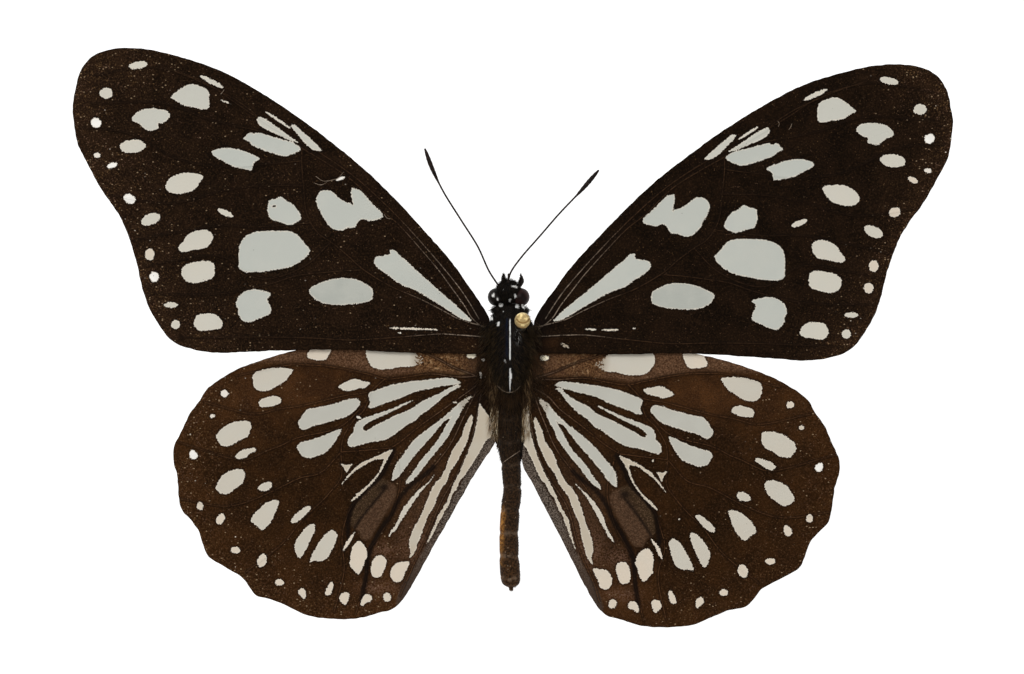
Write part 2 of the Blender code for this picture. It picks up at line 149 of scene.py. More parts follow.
# Other markings: (tone, corners of a smooth outline)
FOREWING_PATCHES = [
    (PALE_GREY, [(33.9, 25.2), (33.2, 25.9), (32.0, 26.55), (31.0, 26.4), (30.15, 25.9),
        (30.05, 25.3), (30.2, 24.1), (31.5, 24.2), (32.7, 24.5), (33.5, 25.0)]),
    (PALE_GREY, [(37.8, 23.1), (37.2, 23.8), (36.2, 24.1), (35.2, 24.1), (34.2, 23.8), (34.0, 23.3),
        (34.7, 22.7), (35.2, 22.6), (35.1, 22.2), (35.8, 21.9), (36.5, 22.1), (37.0, 22.6),
        (37.6, 22.8)]),
    (WARM, [(34.4, 16.2), (34.2, 16.9), (33.4, 17.5), (32.2, 17.7), (30.7, 17.4), (31.0, 16.7),
        (31.6, 16.0), (32.4, 15.7), (33.4, 15.6), (34.2, 15.9)]),
    (WARM, [(33.1, 10.3), (32.6, 10.9), (32.2, 11.5), (31.2, 11.95), (30.2, 11.95), (29.7, 11.4),
        (29.9, 10.7), (30.4, 10.2), (31.5, 10.0), (32.7, 9.8), (33.1, 10.0)]),
    (WARM, [(32.8, 8.0), (32.4, 8.5), (31.4, 8.8), (30.4, 8.9), (29.7, 8.7), (29.5, 8.0),
        (29.7, 7.2), (30.5, 6.9), (31.8, 6.7), (32.5, 7.0), (32.8, 7.6)]),
    (GREY, [(27.0, 10.5), (26.6, 11.2), (25.8, 11.7), (24.5, 11.9), (23.0, 11.9), (21.8, 11.8),
        (21.0, 11.3), (20.5, 10.6), (20.0, 10.0), (20.3, 9.4), (21.0, 8.8), (22.0, 8.3),
        (23.5, 8.0), (25.0, 7.8), (26.4, 7.8), (27.0, 8.1), (27.1, 9.2)]),
    (GREY, [(27.4, 4.5), (27.2, 5.2), (26.6, 5.8), (25.8, 6.05), (24.8, 5.95), (23.85, 5.6),
        (24.25, 5.1), (23.95, 4.4), (23.9, 3.7), (24.8, 3.25), (25.8, 2.85), (26.5, 2.8),
        (27.1, 3.5), (27.2, 4.2)]),
    (WARM, [(31.6, 2.6), (31.3, 3.4), (30.5, 3.65), (29.6, 3.6), (29.1, 3.3), (28.7, 2.6),
        (28.9, 2.2), (29.8, 2.0), (31.0, 1.95), (31.4, 2.2)]),
    (GREY, [(24.2, 14.4), (24.0, 15.0), (23.4, 15.1), (22.9, 15.35), (22.3, 14.9), (21.6, 14.5),
        (21.1, 13.8), (20.9, 13.1), (21.4, 12.7), (22.1, 12.5), (23.0, 12.8), (23.9, 13.1),
        (24.15, 13.6)]),
    (GREY, [(29.8, 19.8), (29.2, 20.1), (28.3, 20.2), (27.0, 20.0), (25.9, 19.6), (25.0, 19.1),
        (25.6, 18.7), (25.8, 18.0), (26.7, 18.1), (27.8, 18.4), (28.9, 19.0), (29.7, 19.5)]),
    (GREY, [(26.65, 21.1), (26.4, 21.4), (26.3, 21.6), (25.9, 21.75), (25.6, 21.6), (25.2, 21.72),
        (24.0, 21.4), (23.0, 21.1), (21.6, 20.7), (20.9, 20.1), (21.3, 19.75), (22.0, 19.5),
        (22.4, 19.36), (23.2, 19.5), (24.7, 20.0), (25.8, 20.5), (26.1, 20.85)]),
    (PALE_GREY, [(25.3, 23.0), (25.1, 23.3), (24.5, 23.1), (23.5, 22.45), (22.3, 21.55),
        (21.2, 20.75), (22.0, 20.95), (23.4, 21.6), (24.8, 22.3)]),
    (PALE_GREY, [(21.9, 22.4), (21.6, 22.5), (20.7, 21.8), (19.7, 20.9), (18.8, 19.9),
        (19.5, 19.95), (20.2, 20.4), (21.1, 21.4)]),
    (GREY, [(19.4, 15.1), (19.1, 15.7), (18.5, 16.0), (17.9, 15.9), (17.2, 15.3), (16.4, 14.8),
        (15.9, 14.65), (15.7, 14.5), (15.8, 15.1), (15.9, 15.7), (15.8, 16.2), (15.3, 16.1),
        (14.9, 15.9), (14.2, 15.1), (13.4, 14.3), (12.8, 13.7), (12.7, 13.3), (13.2, 13.05),
        (14.1, 12.9), (14.7, 13.1), (15.2, 12.8), (15.5, 12.3), (16.2, 12.2), (16.9, 11.95),
        (17.7, 12.1), (18.4, 12.8), (19.0, 13.9), (19.3, 14.6)]),
    (GREY, [(13.6, 8.8), (13.4, 9.3), (12.6, 9.45), (12.0, 9.6), (12.0, 10.0), (11.6, 10.0),
        (10.9, 9.4), (9.8, 8.4), (8.6, 7.3), (7.3, 6.1), (6.0, 5.0), (5.0, 4.1), (4.3, 3.4),
        (3.9, 2.9), (4.5, 3.0), (5.5, 3.5), (6.7, 4.3), (8.0, 5.1), (9.5, 6.0), (11.0, 6.6),
        (12.2, 7.5), (13.2, 8.2)]),
    (DULL, [(20.1, 6.0), (19.2, 6.6), (18.1, 7.0), (16.8, 7.2), (15.4, 7.05), (14.4, 6.6),
        (13.8, 6.1), (13.8, 5.1), (14.8, 4.7), (16.0, 4.55), (18.0, 4.55), (19.0, 4.8),
        (19.6, 5.2)]),
]
HINDWING_PATCHES = [
    # the row under the leading edge
    (CREAM, [(20.3, -0.5), (20.1, -0.1), (19.7, 0.5), (17.9, 0.5), (18.1, -0.5), (18.5, -1.0),
        (19.7, -0.95), (20.2, -0.8)]),
    (WARM, [(14.4, -0.5), (14.2, 0.3), (12.5, 0.4), (11.0, 0.3), (10.0, 0.1), (9.2, -0.4),
        (8.6, -1.1), (9.8, -1.6), (11.0, -1.7), (12.0, -1.9), (13.2, -1.9), (13.9, -1.6),
        (14.2, -1.0)]),
    (WARM, [(25.7, -2.6), (25.4, -2.2), (24.8, -2.0), (23.7, -1.8), (22.6, -1.8), (21.7, -2.0),
        (22.1, -2.6), (22.5, -3.1), (23.3, -3.6), (24.0, -4.0), (25.0, -4.1), (25.5, -3.8),
        (25.7, -3.2)]),
    (WARM, [(25.1, -5.4), (25.0, -5.0), (24.4, -4.75), (23.5, -4.6), (23.0, -4.8), (22.9, -5.2),
        (23.4, -5.5), (24.2, -5.7), (25.0, -5.65)]),
    (WARM, [(17.2, -3.7), (16.8, -3.4), (16.0, -3.0), (15.4, -2.9), (14.8, -3.1), (14.0, -3.3),
        (14.4, -3.7), (15.3, -3.9), (16.3, -4.1), (16.9, -3.9)]),
    # the outer half
    (WARM, [(29.35, -8.7), (29.2, -8.2), (28.6, -7.7), (27.9, -7.3), (27.0, -7.1), (26.0, -7.2),
        (25.9, -7.6), (26.1, -8.4), (26.3, -8.7), (27.0, -9.0), (27.6, -9.4), (28.2, -9.6),
        (28.9, -9.5), (29.2, -9.1)]),
    (WARM, [(27.5, -10.7), (27.1, -10.2), (26.3, -9.9), (25.5, -9.8), (25.4, -10.0), (26.0, -10.4),
        (26.6, -10.8), (27.1, -10.9)]),
    (WHITE, [(32.05, -10.3), (31.9, -10.0), (31.6, -10.05), (31.2, -10.6), (31.5, -10.9),
        (31.95, -10.8)]),
    (WARM, [(29.4, -13.8), (29.2, -13.2), (28.7, -12.5), (27.9, -12.05), (27.2, -11.9),
        (26.7, -12.0), (26.5, -12.4), (26.7, -13.1), (27.1, -13.6), (27.8, -14.1), (28.4, -14.45),
        (29.1, -14.2)]),
    (WARM, [(25.2, -13.9), (25.0, -13.5), (24.4, -13.2), (24.0, -13.2), (23.8, -13.6),
        (24.2, -14.0), (24.8, -14.1)]),
    (GREY, [(21.2, -7.2), (21.0, -6.9), (20.5, -6.2), (20.3, -5.95), (19.0, -5.7), (17.0, -5.2),
        (16.0, -4.9), (15.2, -4.9), (15.0, -5.3), (15.3, -5.8), (15.8, -6.3), (16.5, -6.7),
        (17.5, -7.0), (18.5, -7.3), (19.7, -7.6), (20.4, -7.95), (20.9, -7.9)]),
    (GREY, [(21.3, -9.7), (21.0, -9.3), (20.0, -9.0), (19.0, -8.7), (17.8, -8.2), (16.9, -7.9),
        (17.0, -8.3), (17.4, -9.0), (17.9, -9.7), (18.5, -10.3), (19.3, -10.6), (20.0, -10.8),
        (20.8, -10.6), (21.1, -10.1)]),
    (WARM, [(25.9, -17.1), (25.5, -16.3), (24.9, -15.7), (24.2, -15.2), (23.4, -15.0),
        (23.1, -15.1), (23.3, -15.8), (23.6, -16.6), (24.1, -17.4), (24.8, -18.0), (25.4, -17.5)]),
    (WARM, [(21.9, -17.1), (21.5, -16.5), (20.8, -15.9), (20.3, -15.6), (19.9, -15.7),
        (20.2, -16.2), (20.7, -16.7), (21.3, -17.2), (21.8, -17.3)]),
    (WARM, [(21.55, -19.5), (21.3, -18.9), (20.8, -18.2), (20.2, -17.6), (19.8, -17.4),
        (19.5, -17.5), (19.6, -18.2), (20.0, -19.1), (20.5, -20.1), (21.0, -20.8), (21.3, -20.6),
        (21.5, -19.9)]),
    (WARM, [(20.0, -21.2), (19.8, -20.5), (19.3, -19.6), (18.7, -18.7), (18.1, -18.15),
        (17.7, -18.05), (17.3, -18.5), (17.5, -19.3), (17.9, -20.1), (18.3, -20.8), (18.9, -21.1),
        (19.6, -21.1)]),
    (CREAM, [(16.7, -20.1), (16.5, -19.5), (16.0, -18.7), (15.5, -18.15), (15.8, -18.9),
        (16.2, -19.6)]),
    (CREAM, [(16.0, -21.1), (15.9, -20.2), (15.6, -19.5), (15.2, -19.1), (14.8, -19.3),
        (14.4, -19.9), (14.3, -20.6), (14.6, -21.4), (14.9, -22.1), (15.2, -22.45), (15.7, -22.0),
        (16.0, -21.6)]),
    (CREAM, [(13.9, -21.8), (13.7, -21.0), (13.3, -20.6), (12.9, -20.55), (12.5, -20.8),
        (12.4, -21.3), (12.6, -22.0), (12.9, -22.6), (13.2, -22.75), (13.7, -22.65),
        (13.9, -22.3)]),
    (CREAM, [(12.0, -22.4), (11.8, -21.8), (11.3, -21.3), (10.6, -21.2), (10.1, -21.2),
        (10.2, -21.7), (10.5, -22.3), (10.8, -23.0), (11.3, -23.25), (11.7, -23.1)]),
    # the last row, near the outer margin
    (CREAM, [(21.2, -24.2), (20.9, -23.8), (20.5, -24.0), (20.4, -24.6), (20.6, -24.9),
        (20.9, -24.6)]),
    (CREAM, [(18.5, -24.4), (18.3, -23.8), (17.9, -23.2), (17.7, -23.4), (17.8, -24.1),
        (18.1, -24.5)]),
    (CREAM, [(17.1, -24.9), (16.9, -24.4), (16.3, -24.2), (16.1, -24.5), (16.2, -25.0),
        (16.5, -25.5), (16.9, -25.2)]),
    (CREAM, [(14.9, -25.5), (14.8, -24.9), (14.5, -24.5), (14.0, -24.5), (13.8, -24.9),
        (14.0, -25.2), (14.4, -25.3), (14.7, -25.6)]),
    # the discal cell and its neighbours
    (GREY, [(14.2, -5.7), (14.0, -5.3), (14.15, -4.4), (13.5, -4.05), (12.5, -3.7), (11.4, -3.4),
        (10.0, -3.15), (8.5, -3.0), (7.0, -2.85), (6.0, -2.8), (5.3, -3.0), (4.9, -3.3),
        (5.8, -3.5), (7.0, -3.65), (8.2, -3.9), (9.5, -4.2), (10.7, -4.7), (11.8, -5.1),
        (13.0, -5.5), (13.8, -5.8)]),
    (GREY, [(9.75, -5.05), (10.6, -5.35), (11.65, -5.8), (12.7, -6.2), (13.8, -6.55), (14.75, -6.9),
        (15.4, -7.3), (15.6, -7.75), (15.65, -8.25), (16.0, -8.6), (16.25, -9.1), (16.2, -9.55),
        (15.95, -9.7), (14.85, -9.45), (13.8, -9.2), (12.95, -9.1), (12.3, -8.9), (11.65, -8.5),
        (10.9, -7.95), (10.3, -7.5), (9.55, -7.1), (8.9, -6.45), (8.05, -5.9), (6.95, -4.95),
        (6.0, -4.2), (4.95, -3.6), (5.35, -3.5), (6.1, -3.8), (6.95, -4.25), (7.95, -4.75),
        (9.0, -5.25), (9.75, -5.8), (10.6, -6.2), (11.55, -6.6), (12.75, -7.2), (13.6, -7.6),
        (14.1, -7.95), (14.65, -8.05), (14.75, -7.85), (14.25, -7.3), (13.25, -6.8), (12.2, -6.35),
        (11.15, -5.8), (10.15, -5.3)]),
    (TAN, [(11.8, -10.0), (13.5, -10.7), (15.0, -11.4), (15.9, -12.2), (16.8, -13.4), (15.5, -12.1),
        (14.7, -11.6), (13.6, -11.0), (12.4, -10.8)]),
    (TAN, [(11.8, -10.0), (12.4, -11.2), (13.0, -12.3), (13.8, -13.3), (15.0, -14.5),
        (15.9, -15.15), (15.3, -14.4), (14.2, -13.5), (13.2, -12.3), (12.7, -11.2), (12.5, -10.5)]),
    (TAN, [(16.95, -11.35), (16.4, -11.5), (15.8, -11.45), (16.05, -11.8), (16.35, -12.3),
        (16.6, -11.8)]),
    # the streaks that run back from the root
    (GREY, [(3.8, -4.55), (4.75, -5.05), (5.7, -5.9), (6.35, -6.45), (7.1, -7.1), (7.85, -7.6),
        (8.7, -8.25), (9.55, -9.0), (10.2, -9.75), (10.7, -10.5), (11.45, -11.55), (11.7, -12.3),
        (11.8, -13.1), (11.3, -12.8), (10.9, -12.4), (10.4, -11.7), (9.65, -10.7), (9.0, -9.95),
        (8.25, -9.1), (7.5, -8.25), (7.0, -7.6), (6.55, -7.1), (6.1, -6.9), (5.4, -6.4),
        (4.7, -5.6), (4.0, -4.8)]),
    (GREY, [(3.8, -4.65), (4.3, -5.3), (4.75, -5.9), (5.25, -6.9), (5.7, -7.6), (6.1, -8.5),
        (6.75, -9.4), (7.4, -10.2), (8.15, -11.1), (8.9, -12.1), (9.55, -12.85), (9.85, -13.1),
        (10.45, -13.4), (10.3, -13.0), (9.55, -12.0), (8.9, -11.0), (8.05, -10.05), (7.5, -9.4),
        (7.0, -8.6), (6.55, -7.8), (6.1, -7.1), (5.9, -6.6), (5.1, -5.6), (4.3, -4.85)]),
    (WARM, [(7.55, -12.45), (7.9, -12.95), (8.6, -13.6), (9.1, -14.0), (9.65, -14.55),
        (10.1, -15.1), (10.6, -15.7), (10.9, -16.25), (11.2, -17.0), (11.55, -17.65), (11.9, -18.1),
        (12.1, -18.65), (11.8, -18.3), (11.45, -18.0), (11.0, -17.2), (10.6, -16.7),
        (10.15, -15.95), (9.65, -15.2), (9.0, -14.3), (8.4, -13.6), (7.9, -13.0)]),
    (TAN, [(3.85, -6.45), (4.2, -7.0), (4.6, -7.8), (4.95, -8.8), (5.7, -9.9), (6.0, -10.6),
        (6.4, -11.7), (7.1, -13.0), (7.4, -13.2), (7.9, -14.1), (8.5, -15.5), (9.0, -16.7),
        (9.6, -17.8), (10.0, -18.8), (10.1, -19.5), (9.95, -20.2), (10.05, -20.8), (9.6, -20.3),
        (9.3, -19.5), (8.9, -18.5), (8.6, -17.6), (8.25, -16.7), (7.6, -15.6), (7.0, -14.1),
        (6.3, -13.1), (6.0, -12.2), (5.2, -11.0), (4.7, -10.0), (4.2, -8.9), (4.0, -8.0),
        (3.7, -6.8)]),
    (TAN, [(3.05, -5.35), (3.25, -6.8), (3.5, -8.15), (3.8, -9.1), (4.2, -10.2), (4.65, -11.25),
        (5.05, -12.2), (5.6, -13.3), (6.3, -15.1), (6.85, -16.05), (7.2, -16.6), (7.6, -17.65),
        (7.95, -18.4), (8.5, -19.9), (8.05, -19.05), (7.6, -18.2), (7.25, -17.45), (6.85, -16.8),
        (6.6, -16.2), (6.2, -15.6), (5.9, -14.9), (5.75, -14.4), (5.35, -13.9), (5.05, -13.15),
        (4.4, -12.4), (3.9, -11.6), (3.25, -10.6), (2.6, -9.6), (1.95, -8.9), (1.75, -7.9),
        (1.95, -7.0), (2.35, -6.3), (2.75, -5.75)]),
]

# Veins, as lines from the root outward
FOREWING_VEINS = [
    [(2.4, 2.0), (3.8, 3.2), (4.6, 4.5), (5.9, 6.3), (7.0, 7.8), (9.2, 10.4), (11.2, 12.6),
     (13.0, 14.1), (15.6, 16.8), (18.5, 18.8), (20.8, 20.2), (22.0, 21.2), (25.5, 22.0),
     (30.0, 23.0), (34.5, 24.6), (41.8, 24.6)],
    [(3.1, 3.1), (4.1, 4.8), (5.2, 6.4), (8.2, 10.0), (11.6, 13.7), (15.4, 17.2), (19.0, 19.7),
     (21.2, 21.0), (23.4, 22.1), (24.9, 23.1), (26.1, 24.1), (27.9, 25.3), (29.7, 26.2),
     (32.1, 27.3), (35.0, 28.4)],
    [(22.0, 21.2), (24.0, 22.4), (27.0, 24.4), (31.0, 27.0), (36.0, 28.2), (41.6, 27.4)],
    [(2.4, 2.3), (5.1, 3.1), (6.8, 4.0), (9.2, 5.2), (12.0, 6.4), (14.0, 7.6), (15.0, 8.3),
     (16.3, 9.5), (17.9, 10.8), (19.2, 11.7), (20.3, 13.6), (20.6, 16.0), (20.8, 18.5),
     (20.8, 20.2)],
    [(20.8, 18.9), (24.0, 18.6), (28.5, 18.3), (33.0, 19.0), (38.0, 21.6), (43.0, 22.2)],
    [(20.5, 16.4), (25.0, 16.4), (29.0, 15.8), (34.0, 14.6), (40.0, 15.5)],
    [(20.0, 12.7), (25.0, 12.3), (29.0, 12.4), (34.0, 11.6), (37.6, 10.9)],
    [(17.9, 10.8), (20.5, 8.4), (25.0, 7.1), (28.7, 9.3), (33.5, 8.9), (36.9, 8.2)],
    [(15.0, 8.0), (17.0, 7.9), (19.0, 7.7), (21.4, 7.4), (24.0, 6.6), (29.0, 5.6), (36.2, 5.6)],
    [(2.4, 1.3), (5.0, 1.5), (7.0, 1.6), (11.0, 1.3), (15.8, 1.0), (19.8, 1.2), (25.0, 1.3),
     (33.0, 1.2)],
]
HINDWING_VEINS = [
    [(3.0, -2.6), (5.0, -2.7), (8.1, -2.4), (10.3, -2.7), (12.5, -2.9), (13.9, -2.5), (16.1, -2.0),
     (18.5, -1.6), (20.1, -1.5), (22.0, -1.5), (27.4, -2.6)],
    [(3.6, -2.5), (5.5, -1.8), (8.0, -0.5), (11.0, 0.6)],
    [(12.5, -2.9), (13.1, -3.4), (13.9, -4.1), (14.6, -4.3), (16.2, -4.5), (18.0, -4.9),
     (21.0, -5.6), (23.1, -5.9), (25.5, -6.4), (30.6, -5.2)],
    [(13.9, -4.1), (14.6, -6.0), (15.6, -7.0), (16.7, -8.8), (16.9, -10.2)],
    [(15.0, -5.9), (17.0, -7.7), (21.3, -8.8), (23.0, -9.6), (24.1, -10.0), (25.4, -10.6),
     (26.8, -11.0), (33.2, -9.2)],
    [(16.9, -10.2), (19.0, -12.3), (21.0, -12.8), (22.5, -13.5), (23.9, -14.2), (28.0, -15.6),
     (33.0, -14.9)],
    [(11.9, -9.8), (14.0, -10.0), (16.9, -10.2)],
    [(16.9, -10.4), (16.9, -12.8), (17.9, -14.1), (18.7, -15.0), (20.8, -17.0), (22.6, -19.2),
     (26.4, -22.2)],
    [(3.4, -3.6), (6.2, -5.6), (9.0, -7.6), (11.0, -9.2), (11.9, -9.8)],
    [(11.9, -9.8), (12.8, -12.4), (14.6, -14.2), (15.8, -15.6), (16.5, -17.2), (16.8, -19.0),
     (16.6, -22.0), (17.6, -26.2)],
    [(11.3, -10.6), (11.0, -13.2), (11.3, -14.9), (12.1, -17.0), (13.3, -18.9), (14.2, -20.2),
     (14.4, -22.6), (15.4, -26.3)],
    [(3.4, -4.2), (4.6, -6.6), (6.0, -9.5), (8.0, -12.1), (9.4, -14.0)],
    [(2.9, -4.4), (3.4, -7.0), (4.1, -9.6), (5.4, -12.6), (6.8, -15.0), (8.2, -18.3), (9.6, -21.4),
     (11.0, -24.6)],
]

# The outer margins, where the scales wear off first
FOREWING_MARGIN = [
    (39.0, 30.0), (43.0, 27.0), (43.4, 22.0), (40.0, 15.0), (37.5, 9.0), (36.0, 4.0), (32.0, 0.2),
]
HINDWING_MARGIN = [
    (29.5, -3.6), (33.2, -9.5), (33.0, -14.0), (30.6, -20.0), (25.6, -24.2), (19.0, -26.8),
    (12.0, -26.0),
]

# The scent pouch on each hindwing, its slit, and the dark bands beside it
POUCH = [
    (12.2, -13.1), (11.4, -13.7), (11.4, -14.6), (12.25, -16.2), (13.5, -18.1), (14.1, -19.0),
    (14.8, -19.0), (15.15, -18.2), (15.9, -17.7), (15.85, -16.3), (15.1, -14.9), (14.0, -13.6),
    (12.9, -12.8),
]
POUCH_SLIT = [(12.6, -14.0), (13.5, -15.1), (14.4, -16.2), (15.1, -17.1), (15.5, -17.8)]
POUCH_BANDS = [
    [(11.6, -10.0), (12.8, -12.4), (14.5, -14.1), (15.7, -15.6), (16.2, -17.2), (16.2, -18.6)],
    [(7.6, -11.7), (8.7, -12.6), (9.9, -13.5), (10.8, -14.5), (11.8, -16.3), (13.1, -18.2),
     (14.0, -20.1), (14.4, -22.6), (14.8, -25.0)],
]
# The grey hairy strip along each hindwing's inner margin
INNER_STRIP = [
    (1.3, -8.6), (2.2, -8.9), (3.2, -10.5), (4.4, -12.4), (6.0, -15.2), (7.2, -17.5), (9.2, -21.0),
    (11.4, -25.4), (10.7, -26.5), (8.0, -21.8), (5.0, -16.0), (2.0, -11.0), (1.0, -9.0),
]
RIGHT_INNER_STRIP = [
    (1.6, -8.6), (2.75, -9.1), (3.7, -10.7), (4.6, -12.65), (5.9, -15.2), *INNER_STRIP[5:],
]

# The body. Profiles are (forward, half width), the abdomen's (back from its start, half width)
HEAD_CENTRE = (-0.15, 5.85, 26.0)
HEAD_RADII = (1.2, 1.14, 1.2)
EYES = {"left_eye": (-1.37, 5.3, 25.95), "right_eye": (1.1, 5.3, 25.95)}
EYE_RADII = (0.86, 0.9, 1.05)
THORAX_Z = 25.4
THORAX_HEIGHT_RATIO = 1.28
THORAX_PROFILE = [
    (4.6, 0.0), (4.56, 0.8), (4.35, 1.3), (3.7, 1.62), (2.6, 1.92), (1.2, 2.08), (-0.4, 2.05),
    (-1.9, 1.85), (-3.2, 1.5), (-4.1, 1.0), (-4.42, 0.5), (-4.45, 0.0),
]
# Lobes on the thorax: (centre, half sizes, turn in degrees)
LOBES = [
    ((-1.05, 4.05, 26.25), (0.85, 0.42, 0.55), 12), ((1.05, 4.05, 26.25), (0.85, 0.42, 0.55), -12),
    ((-1.75, 2.2, 26.4), (0.5, 1.2, 0.6), -12), ((1.75, 2.2, 26.4), (0.5, 1.2, 0.6), 12),
    ((0.0, -3.1, 27.0), (0.95, 1.05, 0.55), 0),
]
ABDOMEN_START_Y = -4.57
ABDOMEN_LENGTH = 19.65
ABDOMEN_PROFILE = [
    (0.0, 0.0), (0.05, 0.7), (0.5, 1.15), (1.9, 1.3), (4.3, 1.27), (6.2, 1.04), (8.7, 0.92),
    (11.6, 0.95), (15.5, 0.96), (18.0, 1.0), (18.6, 0.94), (18.95, 0.8), (19.2, 0.45), (19.3, 0.24),
    (19.6, 0.18), (19.65, 0.0),
]
# (back from its start, right of the midline)
ABDOMEN_SWAY = [
    (0.0, -0.05), (4.8, -0.07), (6.8, 0.1), (9.7, 0.24), (11.6, 0.0), (14.0, -0.12), (16.5, -0.08),
    (19.65, 0.13),
]
ABDOMEN_DROP = 1.1
SEGMENT_LENGTH = 2.3
SEGMENT_GROOVE = 0.07
TAN_FLANK = (-22.3, -15.3)

# The hair's heights and corners, and the seeds of the sheets, the body's hair and the limbs'
UPPER_SIDE_Z = 25.9
HINDWING_ROOT_Z, HINDWING_RISE, FOREWING_LIFT = 25.98, 0.055, 0.85
WAIST_Z, WAIST_HEIGHT, WAIST_HALF_WIDTH, WAIST_DEPTH = 25.6, 1.3, 1.6, 0.2
SHEET_SEED, BODY_SEED, LIMB_SEED = 5, 11, 23
HAIR_CORNERS = 7

# Stray fibres: on the rear of the thorax, over the abdomen, and on the forewings
FIBRE_RADII = [0.02, 0.035, 0.02]
REAR_EDGE = [
    (-1.3, -3.55, 26.9), (-0.65, -4.1, 27.15), (-0.05, -4.24, 27.25), (0.5, -4.1, 27.15),
    (1.05, -3.6, 27.0),
]
BODY_FIBRE = [(-0.75, -11.3, 26.3), (-0.2, -10.9, 26.42), (0.4, -10.5, 26.4), (1.0, -10.1, 26.2)]
WING_FIBRES = [
    [(-19.4, 17.35, 27.32), (-18.7, 16.9, 27.3), (-17.9, 16.95, 27.28), (-17.2, 17.2, 27.25),
     (-16.6, 17.8, 27.25)],
    [(-19.6, 16.7, 27.32), (-18.9, 16.5, 27.3), (-18.3, 16.75, 27.3)],
    [(-28.9, 25.55, 27.62), (-28.72, 25.75, 27.6), (-28.55, 26.0, 27.6)],
    [(-12.6, 13.6, 27.05), (-12.3, 13.2, 27.03), (-11.7, 13.1, 27.0)],
    [(26.75, 22.85, 27.56), (26.9, 22.6, 27.54), (26.8, 22.3, 27.54)],
    [(28.15, 22.6, 27.6), (28.05, 22.3, 27.58), (27.85, 22.0, 27.57)],
]

# The membrane under the wings' roots: its height, and (forward, half width)
MEMBRANE_Z, MEMBRANE_HALF_HEIGHT = 25.55, 0.28
MEMBRANE = [
    (3.7, 0.0), (3.6, 1.3), (2.6, 2.3), (1.2, 2.9), (-0.6, 3.0), (-2.0, 2.6), (-4.0, 2.15),
    (-5.5, 1.85), (-7.5, 1.72), (-8.8, 1.62), (-9.5, 1.3), (-9.9, 0.7), (-9.95, 0.0),
]
MEMBRANE_FLAP = ((1.15, -9.7, 25.6), (0.36, 1.3, 0.2))

# White marks of the body, seen from above: (right of the midline, forward, width, length, turn)
BODY_SPOTS = [
    (-1.66, 5.5, 0.22, 0.44, -25), (-1.24, 5.1, 0.24, 0.26, 0), (0.0, 5.05, 0.28, 0.28, 0),
    (0.52, 5.45, 0.22, 0.4, 10), (-0.9, 4.48, 0.46, 0.4, 0), (-0.7, 3.85, 0.12, 0.12, 0),
    (0.68, 4.35, 0.4, 0.42, 0), (1.3, 4.35, 0.26, 0.5, 30), (0.4, 6.38, 0.62, 0.22, -12),
    (-1.84, 3.15, 0.28, 0.42, 0), (-1.17, 2.6, 0.32, 0.5, -20), (-0.5, -1.05, 0.14, 0.42, 35),
    (0.0, 1.6, 0.07, 3.2, 0), (0.0, 0.0, 0.14, 2.2, 0), (0.02, -2.55, 0.3, 1.6, 0),
    (0.0, -3.1, 0.1, 2.2, 0), (-0.6, 6.1, 0.13, 0.1, 0),
]

# Limbs: (x, y, z) with the radii at the points or, on the antennae, along the line
ANTENNA_RADIUS, CLUB_RADIUS, CLUB_SHARE = 0.09, 0.23, 0.24
ANTENNAE = {
    "left_antenna": [
        (-1.2, 6.5, 27.35), (-2.1, 7.9, 27.5), (-3.2, 10.3, 27.6), (-4.9, 13.0, 27.8),
        (-6.7, 15.9, 27.8), (-7.8, 18.2, 27.7), (-8.5, 20.1, 27.5),
    ],
    "right_antenna": [
        (-0.2, 6.75, 27.2), (0.05, 7.7, 27.4), (1.0, 9.1, 27.6), (3.0, 11.4, 27.8),
        (5.0, 13.7, 27.9), (7.0, 15.8, 27.8), (8.3, 17.3, 27.7), (8.85, 17.95, 27.6),
    ],
}
PALPS = {
    "left_palp": [(-0.55, 6.4, 24.55), (-0.62, 6.9, 25.1), (-0.64, 7.3, 26.0), (-0.66, 7.6, 26.9)],
    "right_palp": [(0.85, 6.3, 24.55), (1.1, 6.8, 25.2), (1.13, 7.2, 26.1), (1.04, 7.6, 26.9)],
}
PALP_RADII = [0.2, 0.26, 0.16, 0.03]
LEGS = {
    "foreleg": (
        [(0.45, 3.0, 22.75), (0.95, 3.9, 22.2), (1.3, 3.3, 21.4), (0.9, 1.9, 21.1)],
        [0.26, 0.22, 0.15, 0.08],
    ),
    "middle_leg": (
        [
            (0.65, 0.5, 22.4), (2.3, 1.0, 21.7), (3.6, 1.7, 21.5), (3.4, 0.7, 21.0),
            (2.7, -1.6, 20.3), (2.3, -3.2, 19.9), (2.1, -4.9, 19.9),
        ],
        [0.3, 0.25, 0.17, 0.14, 0.12, 0.1, 0.06],
    ),
    "hind_leg": (
        [
            (0.65, -1.1, 22.4), (1.9, -2.3, 21.9), (3.1, -3.4, 21.6), (2.9, -4.6, 21.2),
            (1.9, -7.2, 20.6), (1.25, -9.0, 20.3), (0.7, -10.8, 20.4),
        ],
        [0.3, 0.25, 0.17, 0.14, 0.12, 0.1, 0.06],
    ),
}
PROBOSCIS_TURNS, PROBOSCIS_RADIUS, PROBOSCIS_PITCH = 2.6, 0.1, 0.3
PROBOSCIS_CENTRE, PROBOSCIS_CORNERS = (-0.15, 7.0, 24.0), 90

# The pin, from its point at the origin
PIN_HEAD_CENTRE = Vector((-0.32, 3.17, 37.2))
PIN_HEAD_RADIUS = 0.78
PIN_RADIUS = 0.23
PIN_POINT_LENGTH = 3.0

